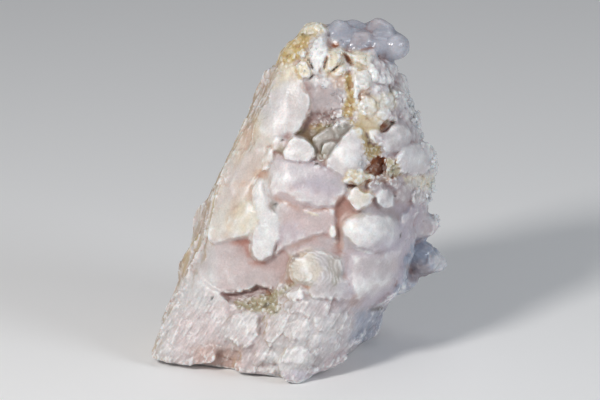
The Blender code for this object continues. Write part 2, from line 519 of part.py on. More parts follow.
def centre_on_foot(data):
    # The origin is the middle of the outer box, on the ground.
    low = [min(v.co[axis] for v in data.vertices) for axis in range(3)]
    high = [max(v.co[axis] for v in data.vertices) for axis in range(3)]
    data.transform(Matrix.Translation((-(low[0] + high[0]) / 2, -(low[1] + high[1]) / 2, -low[2])))
    print("origin was at", [round((low[a] + high[a]) / 2 / MM, 2) for a in range(2)],
          "size", [round((high[a] - low[a]) / MM, 1) for a in range(3)])


def build():
    for thing in list(bpy.data.objects):
        bpy.data.objects.remove(thing, do_unlink=True)
    body_mesh = loft(BODY_SECTIONS)
    stone = Stone(body_mesh)
    data = bpy.data.meshes.new("body")
    body_mesh.to_mesh(data)
    body_mesh.free()
    body = bpy.data.objects.new("body", data)
    bpy.context.scene.collection.objects.link(body)

    grow_left_plates(stone)
    grow_left_wall(stone)
    grow_centre(stone)
    grow_crown(stone)
    grow_bulbs(stone)
    grow_seam(stone)
    grow_upper_right(stone)
    grow_cavity_rim(stone)
    grow_right_lobes(stone)
    grow_lower_front(stone)
    grow_right_side(stone)
    grow_back(stone)
    grow_top(stone)
    sink_pits(stone)
    cut_floor(stone.pits)

    united = unite(body, stone)
    for thing in list(bpy.data.objects):
        bpy.data.objects.remove(thing, do_unlink=True)
    for group in (stone.growths, stone.pits):
        bpy.data.collections.remove(group)
    keep_outer_shell(united)
    centre_on_foot(united)
    united.materials.clear()
    united.materials.append(calcite_material())
    specimen = bpy.data.objects.new("calcite_specimen", united)
    bpy.context.scene.collection.objects.link(specimen)
    print("triangles", sum(len(p.vertices) - 2 for p in united.polygons))


build()
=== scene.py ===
import math
import bmesh
import bpy
import numpy as np
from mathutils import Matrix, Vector
from mathutils.bvhtree import BVHTree


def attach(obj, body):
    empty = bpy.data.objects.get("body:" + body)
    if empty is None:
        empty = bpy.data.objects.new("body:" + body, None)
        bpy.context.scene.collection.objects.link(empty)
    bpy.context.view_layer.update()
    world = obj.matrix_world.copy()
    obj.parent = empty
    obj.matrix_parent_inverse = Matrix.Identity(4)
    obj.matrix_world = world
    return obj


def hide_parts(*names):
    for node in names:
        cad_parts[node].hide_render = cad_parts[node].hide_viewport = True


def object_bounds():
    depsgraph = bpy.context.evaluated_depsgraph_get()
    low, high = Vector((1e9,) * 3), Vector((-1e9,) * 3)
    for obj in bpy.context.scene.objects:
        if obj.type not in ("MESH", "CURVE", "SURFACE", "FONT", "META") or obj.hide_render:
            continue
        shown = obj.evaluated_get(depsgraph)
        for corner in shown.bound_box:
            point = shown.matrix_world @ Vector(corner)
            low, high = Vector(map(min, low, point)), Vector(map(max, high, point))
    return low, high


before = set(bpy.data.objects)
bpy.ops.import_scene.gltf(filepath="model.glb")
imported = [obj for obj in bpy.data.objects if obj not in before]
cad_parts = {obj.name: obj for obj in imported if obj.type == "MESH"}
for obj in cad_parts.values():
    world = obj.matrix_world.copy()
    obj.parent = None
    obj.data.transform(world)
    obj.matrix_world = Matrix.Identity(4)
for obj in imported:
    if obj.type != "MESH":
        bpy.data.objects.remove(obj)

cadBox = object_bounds()
mm = 0.001

# How the specimen is seen from the front. Places on it are given as someone sees them there, in millimetres:
# across from the foot of the nose, and up from it.
frontView = {
    "tilt": 18.0,  # degrees the eye looks down
    "noseX": 0.18,  # where the nose's foot is from the part's origin
    "noseY": -39.1,
    "middleUp": 65.7,  # what the middle of the picture looks at
    "middleDepth": 10.0,
    "pictureWidth": 216.0,
    "lens": 260.0,
}
tilt = math.radians(frontView["tilt"])
rightWay = np.array((1.0, 0.0, 0.0))
upWay = np.array((0.0, math.sin(tilt), math.cos(tilt)))
eyeWay = np.array((0.0, -math.cos(tilt), math.sin(tilt)))
nose = np.array((frontView["noseX"], frontView["noseY"], 0.0))

# the drawn surface stays this far inside the solid's box, in mm
boxGap = 0.02
boxLow = np.array(cadBox[0]) / mm + (boxGap, boxGap, 0.0)
boxHigh = np.array(cadBox[1]) / mm - boxGap


def seenFrom(place):
    # place is in mm in the part's frame
    return (place - nose) @ np.column_stack((rightWay, upWay))


def placeAt(across, up, depth):
    # the other way round: depth is in mm behind the nose's foot as seen
    return nose + np.outer(across, rightWay) + np.outer(up, upWay) - np.outer(depth, eyeWay)


# Patterns: repeatable noise, cells and facets worked out for many points at once.

def ramp(low, high, value):
    part = np.clip((value - low) / (high - low), 0.0, 1.0)
    return part * part * (3.0 - 2.0 * part)


def dice(cell, seed):
    # a repeatable random number from 0 to 1 for each whole-number cell
    n = cell[:, 0] * 374761393 + cell[:, 1] * 668265263 + cell[:, 2] * 1440662683 + seed * 1274126177
    n = (n ^ (n >> 13)) * 1103515245
    n = (n ^ (n >> 16)) * 374761393
    n = n ^ (n >> 15)
    return (n & 0xFFFFF) / 0xFFFFF


def softNoise(place, size, seed=0, layers=2):
    # smooth noise from about -1 to 1 whose lumps are that size in mm
    total = np.zeros(len(place))
    reach = 1.0
    for layer in range(layers):
        p = place / size * 2.0 ** layer + seed * 7.31
        base = np.floor(p).astype(np.int64)
        part = p - base
        part = part * part * part * (part * (part * 6 - 15) + 10)
        value = np.zeros(len(place))
        for dx in (0, 1):
            for dy in (0, 1):
                for dz in (0, 1):
                    weight = np.abs(1 - dx - part[:, 0]) * np.abs(1 - dy - part[:, 1])
                    weight = weight * np.abs(1 - dz - part[:, 2])
                    value += weight * dice(base + (dx, dy, dz), seed + layer)
        total += (value * 2 - 1) * reach
        reach *= 0.5
    return total


def cells(place, size, seed=0):
    # nearest and second nearest cell middle, the way from the middle, and the cell's own number
    p = place / size
    base = np.floor(p).astype(np.int64)
    near = np.full(len(p), 9.0)
    second = np.full(len(p), 9.0)
    away = np.zeros_like(p)
    own = np.zeros_like(base)
    for dx in (-1, 0, 1):
        for dy in (-1, 0, 1):
            for dz in (-1, 0, 1):
                cell = base + (dx, dy, dz)
                middle = cell + np.column_stack([dice(cell, seed + k) for k in range(3)])
                gap = p - middle
                distance = np.sqrt((gap * gap).sum(axis=1))
                closer = distance < near
                second = np.where(closer, near, np.minimum(second, distance))
                near = np.where(closer, distance, near)
                away[closer] = gap[closer]
                own[closer] = cell[closer]
    return near, second, away * size, own


def facets(place, size, seed, slope, step, lean=(0.0, 0.0, 0.0)):
    # small flat faces, each with its own slope and its own height, in mm
    away, own = cells(place, size, seed)[2:]
    way = np.column_stack([dice(own, seed + 11 + k) for k in range(3)]) * 2 - 1 + lean
    return (way * away).sum(axis=1) * slope + (dice(own, seed + 17) * 2 - 1) * step


def lumps(place, size, seed):
    # rounded knobs that meet in creases, from 0 in the crease to 1 on top
    near = cells(place, size, seed)[0]
    return np.sqrt(np.clip(1.0 - near * near * 1.1, 0.0, 1.0))


def distanceIn(seen, outline):
    # how far inside the outline each point is, in mm; less than 0 outside
    result = np.full(len(seen), 1e9)
    odd = np.zeros(len(seen), dtype=bool)
    count = len(outline)
    for i in range(count):
        a = np.array(outline[i], dtype=float)
        b = np.array(outline[(i + 1) % count], dtype=float)
        along = b - a
        part = np.clip(((seen - a) @ along) / (along @ along), 0.0, 1.0)
        gap = seen - a - part[:, None] * along
        result = np.minimum(result, (gap * gap).sum(axis=1))
        crosses = (a[1] > seen[:, 1]) != (b[1] > seen[:, 1])
        where = a[0] + (seen[:, 1] - a[1]) * along[0] / (along[1] if along[1] else 1e-9)
        odd ^= crosses & (seen[:, 0] < where)
    result = np.sqrt(result)
    return np.where(odd, result, -result)


def inside(seen, outline, soft, ragged=0.0):
    # 1 well inside the outline, 0 well outside, with an edge that is soft mm wide
    points = np.array(outline, dtype=float)
    low = points.min(axis=0) - soft - 2
    high = points.max(axis=0) + soft + 2
    result = np.zeros(len(seen))
    near = ((seen > low) & (seen < high)).all(axis=1)
    if near.any():
        wander = ragged if np.isscalar(ragged) else ragged[near]
        result[near] = ramp(-soft / 2, soft / 2, distanceIn(seen[near], outline) + wander)
    return result


def spot(seen, across, up, wide, tall, turn=0.0, soft=0.5, ragged=None):
    # an oval patch, 1 in the middle and 0 outside; soft is the part of its reach that fades
    angle = math.radians(turn)
    x = seen[:, 0] - across
    y = seen[:, 1] - up
    a = (x * math.cos(angle) + y * math.sin(angle)) / wide
    b = (y * math.cos(angle) - x * math.sin(angle)) / tall
    reach = np.sqrt(a * a + b * b)
    if ragged is not None:
        reach = reach + ragged / min(wide, tall)
    return 1.0 - ramp(1.0 - soft, 1.0 + soft * 0.3, reach)


# Mesh helpers

def placesOf(mesh):
    values = np.empty(len(mesh.vertices) * 3, dtype=np.float32)
    mesh.vertices.foreach_get("co", values)
    return values.reshape(-1, 3).astype(float) / mm


def normalsOf(mesh):
    values = np.empty(len(mesh.vertices) * 3, dtype=np.float32)
    mesh.vertex_normals.foreach_get("vector", values)
    return values.reshape(-1, 3).astype(float)


def setPlaces(mesh, place):
    mesh.vertices.foreach_set("co", (place * mm).astype(np.float32).ravel())
    mesh.update()


def relaxed(mesh, place, steps, amount):
    # moves each point part of the way to the middle of its neighbours
    ends = np.empty(len(mesh.edges) * 2, dtype=np.int32)
    mesh.edges.foreach_get("vertices", ends)
    ends = ends.reshape(-1, 2)
    first = np.concatenate((ends[:, 0], ends[:, 1]))
    other = np.concatenate((ends[:, 1], ends[:, 0]))
    count = np.bincount(first, minlength=len(place))[:, None]
    for step in range(steps):
        total = np.column_stack([np.bincount(first, place[other, k], minlength=len(place)) for k in range(3)])
        place = place + (total / count - place) * amount
    return place


def newThing(name, data):
    thing = bpy.data.objects.new(name, data)
    bpy.context.scene.collection.objects.link(thing)
    return thing


def resultOf(thing, name):
    # the thing's mesh with its modifiers, as a plain mesh
    graph = bpy.context.evaluated_depsgraph_get()
    mesh = bpy.data.meshes.new_from_object(thing.evaluated_get(graph))
    mesh.name = name
    return mesh


def modified(mesh, name, kind, **settings):
    # a new mesh: the old one with one modifier on it
    thing = newThing(name, mesh)
    modifier = thing.modifiers.new(name, kind)
    for key, value in settings.items():
        setattr(modifier, key, value)
    result = resultOf(thing, name)
    bpy.data.objects.remove(thing, do_unlink=True)
    return result


def voxelled(mesh, size, name):
    return modified(mesh, name, "REMESH", mode="VOXEL", voxel_size=size * mm, use_smooth_shade=True)


def keep(mesh, name, values):
    layer = mesh.attributes.get(name) or mesh.attributes.new(name, "FLOAT", "POINT")
    layer.data.foreach_set("value", values.astype(np.float32))


def keepColour(mesh, name, colours):
    layer = mesh.attributes.new(name, "FLOAT_COLOR", "POINT")
    four = np.column_stack((colours, np.ones(len(colours)))).astype(np.float32)
    layer.data.foreach_set("color", four.ravel())


def nodeMaker(tree):
    # makes nodes in one call: the inputs are values or the sockets that feed them
    def node(kind, inputs=None, **settings):
        made = tree.nodes.new(kind)
        for key, value in settings.items():
            setattr(made, key, value)
        for name, value in (inputs or {}).items():
            if isinstance(value, bpy.types.NodeSocket):
                tree.links.new(value, made.inputs[name])
            else:
                made.inputs[name].default_value = value
        return made

    return node


# Crystals that grow all over a surface where its grow attribute is above 0.

crystalInputs = {
    "Per Square Metre": "Float",
    "Seed": "Int",
    "Smallest": "Float",
    "Largest": "Float",
    "Proportions": "Vector",
    "Shear": "Float",
    "Wobble": "Float",
    "Direction": "Vector",
    "Sink": "Float",
    "Finish": "Material",
}


def crystalTree():
    tree = bpy.data.node_groups.new("grownCrystals", "GeometryNodeTree")
    tree.is_modifier = True
    for name, kind in {"Geometry": "Geometry", **crystalInputs}.items():
        tree.interface.new_socket(name, in_out="INPUT", socket_type="NodeSocket" + kind)
    tree.interface.new_socket("Geometry", in_out="OUTPUT", socket_type="NodeSocketGeometry")
    node = nodeMaker(tree)
    given = node("NodeGroupInput").outputs
    seed = given["Seed"]
    grow = node("GeometryNodeInputNamedAttribute", {"Name": "grow"}, data_type="FLOAT").outputs["Attribute"]
    many = node("ShaderNodeMath", {0: grow, 1: given["Per Square Metre"]}, operation="MULTIPLY")
    scatter = node("GeometryNodeDistributePointsOnFaces", distribute_method="RANDOM",
                   inputs={"Mesh": given["Geometry"], "Density": many.outputs[0], "Seed": seed})
    # the crystal: a block pushed over to one side
    block = node("GeometryNodeMeshCube", {"Size": (1.0, 1.0, 1.0)})
    parts = node("ShaderNodeSeparateXYZ", {0: node("GeometryNodeInputPosition").outputs["Position"]})
    push = node("ShaderNodeMath", {0: parts.outputs["Y"], 1: given["Shear"]}, operation="MULTIPLY")
    pushed = node("ShaderNodeCombineXYZ", {"X": push.outputs[0]})
    crystal = node("GeometryNodeSetPosition",
                   {"Geometry": block.outputs["Mesh"], "Offset": pushed.outputs[0]})
    # each turned to the surface and the given direction, with a little wobble
    along = node("FunctionNodeAlignRotationToVector", axis="X", pivot_axis="Z",
                 inputs={"Rotation": scatter.outputs["Rotation"], "Vector": given["Direction"]})
    minus = node("ShaderNodeMath", {0: given["Wobble"], 1: -1.0}, operation="MULTIPLY")
    shake = node("FunctionNodeRandomValue", data_type="FLOAT_VECTOR",
                 inputs={"Min": minus.outputs[0], "Max": given["Wobble"], "Seed": seed})
    turn = node("FunctionNodeEulerToRotation", {0: shake.outputs["Value"]})
    rotate = node("FunctionNodeRotateRotation", rotation_space="LOCAL",
                  inputs={"Rotation": along.outputs[0], "Rotate By": turn.outputs[0]})
    size = node("FunctionNodeRandomValue", data_type="FLOAT",
                inputs={2: given["Smallest"], 3: given["Largest"], "Seed": seed})
    stretch = node("ShaderNodeVectorMath", operation="SCALE",
                   inputs={0: given["Proportions"], "Scale": size.outputs[1]})
    placed = node("GeometryNodeInstanceOnPoints", {
        "Points": scatter.outputs["Points"],
        "Instance": crystal.outputs["Geometry"],
        "Rotation": rotate.outputs[0],
        "Scale": stretch.outputs[0],
    })
    lower = node("ShaderNodeCombineXYZ", {"Z": given["Sink"]})
    sunk = node("GeometryNodeTranslateInstances",
                {"Instances": placed.outputs["Instances"], "Translation": lower.outputs[0]})
    real = node("GeometryNodeRealizeInstances", {"Geometry": sunk.outputs["Instances"]})
    finish = node("GeometryNodeSetMaterial",
                  {"Geometry": real.outputs["Geometry"], "Material": given["Finish"]})
    node("NodeGroupOutput", {"Geometry": finish.outputs["Geometry"]})
    return tree


growTree = crystalTree()


def grown(mesh, mask, values, name, finish):
    # crystals over that mesh, thick where mask is near 1
    keep(mesh, "grow", mask)
    carrier = newThing(name + "Carrier", mesh)
    modifier = carrier.modifiers.new("crystals", "NODES")
    modifier.node_group = growTree
    settings = {**values, "Finish": finish}
    for socket in growTree.interface.items_tree:
        if socket.in_out == "INPUT" and socket.name in settings:
            modifier[socket.identifier] = settings[socket.name]
    result = resultOf(carrier, name)
    bpy.data.objects.remove(carrier, do_unlink=True)
    setPlaces(result, np.clip(placesOf(result), boxLow, boxHigh))
    return result


# Zones of the stone, as outlines in the front view

zones = {
    "upperPlate": [
        (-9, 113), (-1, 113), (1, 106), (3, 101), (2, 95), (0, 90), (-7, 88), (-13, 79), (-20, 86),
        (-15, 97), (-11, 106)],
    "lowerThird": [
        (-56, 34), (-34, 33), (-24, 25), (-10, 25), (0, 31), (12, 31), (22, 28), (32, 27), (32, 8), (0, -3),
        (-58, 3)],
    "crown": [
        (-10, 112), (0, 108), (15, 107), (23, 113), (29, 117), (18, 122), (10, 126), (6, 132), (-4, 124)],
    "seam": [(14, 113), (23, 113), (24, 97), (19, 91), (3, 92), (3, 97), (14, 97)],
    "knobbly": [
        (19, 114), (34, 119), (44, 100), (50, 84), (52, 66), (44, 62), (36, 74), (28, 92), (21, 96)],
    "bulbs": [(9, 132), (10, 123), (18, 119), (26, 118), (33, 114), (42, 118), (40, 128), (28, 134)],
    "cavity": [(22, 76), (24, 81), (28, 83), (32, 79), (31, 75), (27, 74)],
    "rosette": [(-5, 40), (-3, 46), (3, 49), (10, 47), (15, 42), (16, 37), (11, 33), (1, 33)],
    "rims": [(22, 88), (29, 88), (30, 82), (36, 80), (36, 72), (28, 70), (16, 70), (16, 76), (22, 77)],
    "knob": [(38, 52), (56, 52), (56, 34), (38, 35)],
    "smoothKnobs": [
        (25, 91), (34, 93.4), (39, 92.4), (41.4, 88), (48, 83), (48, 76), (42, 74.6), (36, 76), (34, 80),
        (29, 84)],
    "crumbs": [(4.6, 82), (9.6, 81.6), (10.4, 77), (5, 76.6)],
    "stain": [(-24, 30), (-14, 32), (-9, 35), (-2, 37), (-3, 34), (-7, 26), (-10, 24.6), (-22, 26)],
    "longFace": [(-20, 92), (-10, 88), (-12, 76), (-16, 66), (-18, 52), (-33, 51), (-30, 64), (-25, 80)],
    "cavityRims": [(21, 88), (30, 87), (36, 80), (36, 72), (28, 70), (16, 70), (16, 76), (21, 78)],
    "creamBand": [(37, 74), (50, 76), (51, 69), (39, 70)],
    "sugaryRecess": [(4, 109), (16, 110), (16, 98), (5, 97)],
    "rightRim": [
        (33, 108), (40, 104), (44, 96), (46, 88), (51, 84), (54, 76), (52, 65), (53, 54), (48, 53),
        (46.5, 60), (46.5, 66), (47, 73), (47, 80), (43, 88), (39, 97), (34, 102)],
}

# the smooth bulbs of the crown: across, up and radius
bulbPlaces = [
    (14.5, 126.5, 6.4), (22.5, 123, 5.2), (29.5, 128.6, 6), (36, 119, 7.6), (28, 120.5, 5.4),
    (20, 129, 4.4)]

# the wall left of the ridge: which way its strokes run and which way it faces
ridgeWay = np.array((53.0, 16.0, 117.0))
ridgeWay /= np.linalg.norm(ridgeWay)
wallFacing = np.array((-0.93, 0.1, 0.36))


def frontness(normal, low=-0.05, high=0.3):
    # 1 where the stone faces the eye; low and high are how far it may turn away
    return ramp(low, high, normal @ eyeWay)


def foldsAt(place, seen):
    # how high the folds and growth lines stand in mm, and the same from -1 to 1 for their painted highlight
    # and shade
    face = inside(seen, zones["longFace"], 5.0)
    plate = inside(seen, zones["upperPlate"], 3.0)
    across = seen[:, 0] * 0.91 - seen[:, 1] * 0.41
    along = seen[:, 0] * 0.41 + seen[:, 1] * 0.91
    folds = softNoise(np.column_stack((across, along * 0.18, place[:, 1] * 0.2)), 3.4, 120, 2)
    bent = seen[:, 0] + ((seen[:, 1] - 100) / 14) ** 2
    lines = softNoise(np.column_stack((bent, seen[:, 1] * 0.06, place[:, 1] * 0.1)), 1.8, 125, 2)
    return folds * 0.35 * face + lines * 0.07 * plate, folds * face + lines * 0.5 * plate


def ringsAt(place, seen):
    # the rosette's rings, from 0 in a groove to 1 on a crest, and how plain they are to see
    far = np.hypot(seen[:, 0] + 1.0, (seen[:, 1] - 38.6) * 1.2) + softNoise(place, 5.0, 110, 2) * 1.6
    return np.abs((far / 1.7) % 1.0 - 0.5) * 2, ramp(-0.6, 0.4, softNoise(place, 5.0, 115, 1))


def leftWallness(place, normal):
    # the striated wall left of the ridge
    return ramp(0.35, 0.7, -normal[:, 0]) * ramp(14.0, 4.0, place[:, 0]) * ramp(0.75, 0.35, normal @ eyeWay)


stoneShape = {
    "firstVoxel": 0.9,  # mm
    "firstSmoothing": 8,
    "fieldAcross": (-58.0, 58.0),  # the front field, in the front view
    "fieldUp": (-2.0, 134.0),
    "fieldStep": 0.45,  # between its points
    "fieldSoftness": 4.5,  # how widely the solid's own relief is smoothed in the field
    "fieldRim": 4.0,  # the field blends into the solid over this width
    "fieldThickness": 5.0,
    "voxel": 0.42,
    "smoothing": 2,
    "triangles": 197000,
    "lip": 0.28,  # a thin raised rim round the crisp forms
    "relief": 1.25,  # how strongly the forms below stand out
    "growthSteps": 0.13,  # height of the broad steps in the plates
    "strokeAngle": 56.0,  # the fine strokes of the lower third run this steep
    "bendSteps": 6,  # how wide the surroundings of thin edges and of broad creases are taken
    "wideBendSteps": 40,
}

strokeAngle = math.radians(stoneShape["strokeAngle"])
alongStroke = rightWay * math.cos(strokeAngle) + upWay * math.sin(strokeAngle)
acrossStroke = rightWay * math.sin(strokeAngle) - upWay * math.cos(strokeAngle)

# The front is drawn as one field inside this outline; the knobs, the bulbs and the rims stay as in the solid.
fieldOutline = [
    (-52, 9.5), (-46, 27), (-40.5, 38), (-34, 52), (-31.5, 63), (-27.5, 75), (-21.5, 91), (-14.5, 97),
    (-12, 104), (-8.5, 112), (-5.5, 117.5), (-1, 122.5), (3, 127), (8, 127.5), (10, 122.5), (16, 119.5),
    (26, 119.5), (31, 115.5), (36, 107), (41, 98), (43, 88.5), (48.5, 82), (48.5, 75), (45.5, 70),
    (44.5, 65.5), (44, 61), (42.5, 54), (41, 48), (38, 41.5), (36.5, 34), (30, 27), (29, 20), (23, 15.5),
    (16, 9.5), (8, 6), (2, 3.6), (-3, 4), (-9, 6), (-16, 5.2), (-23, 6.4), (-29, 9), (-35, 7.6), (-45, 8)]

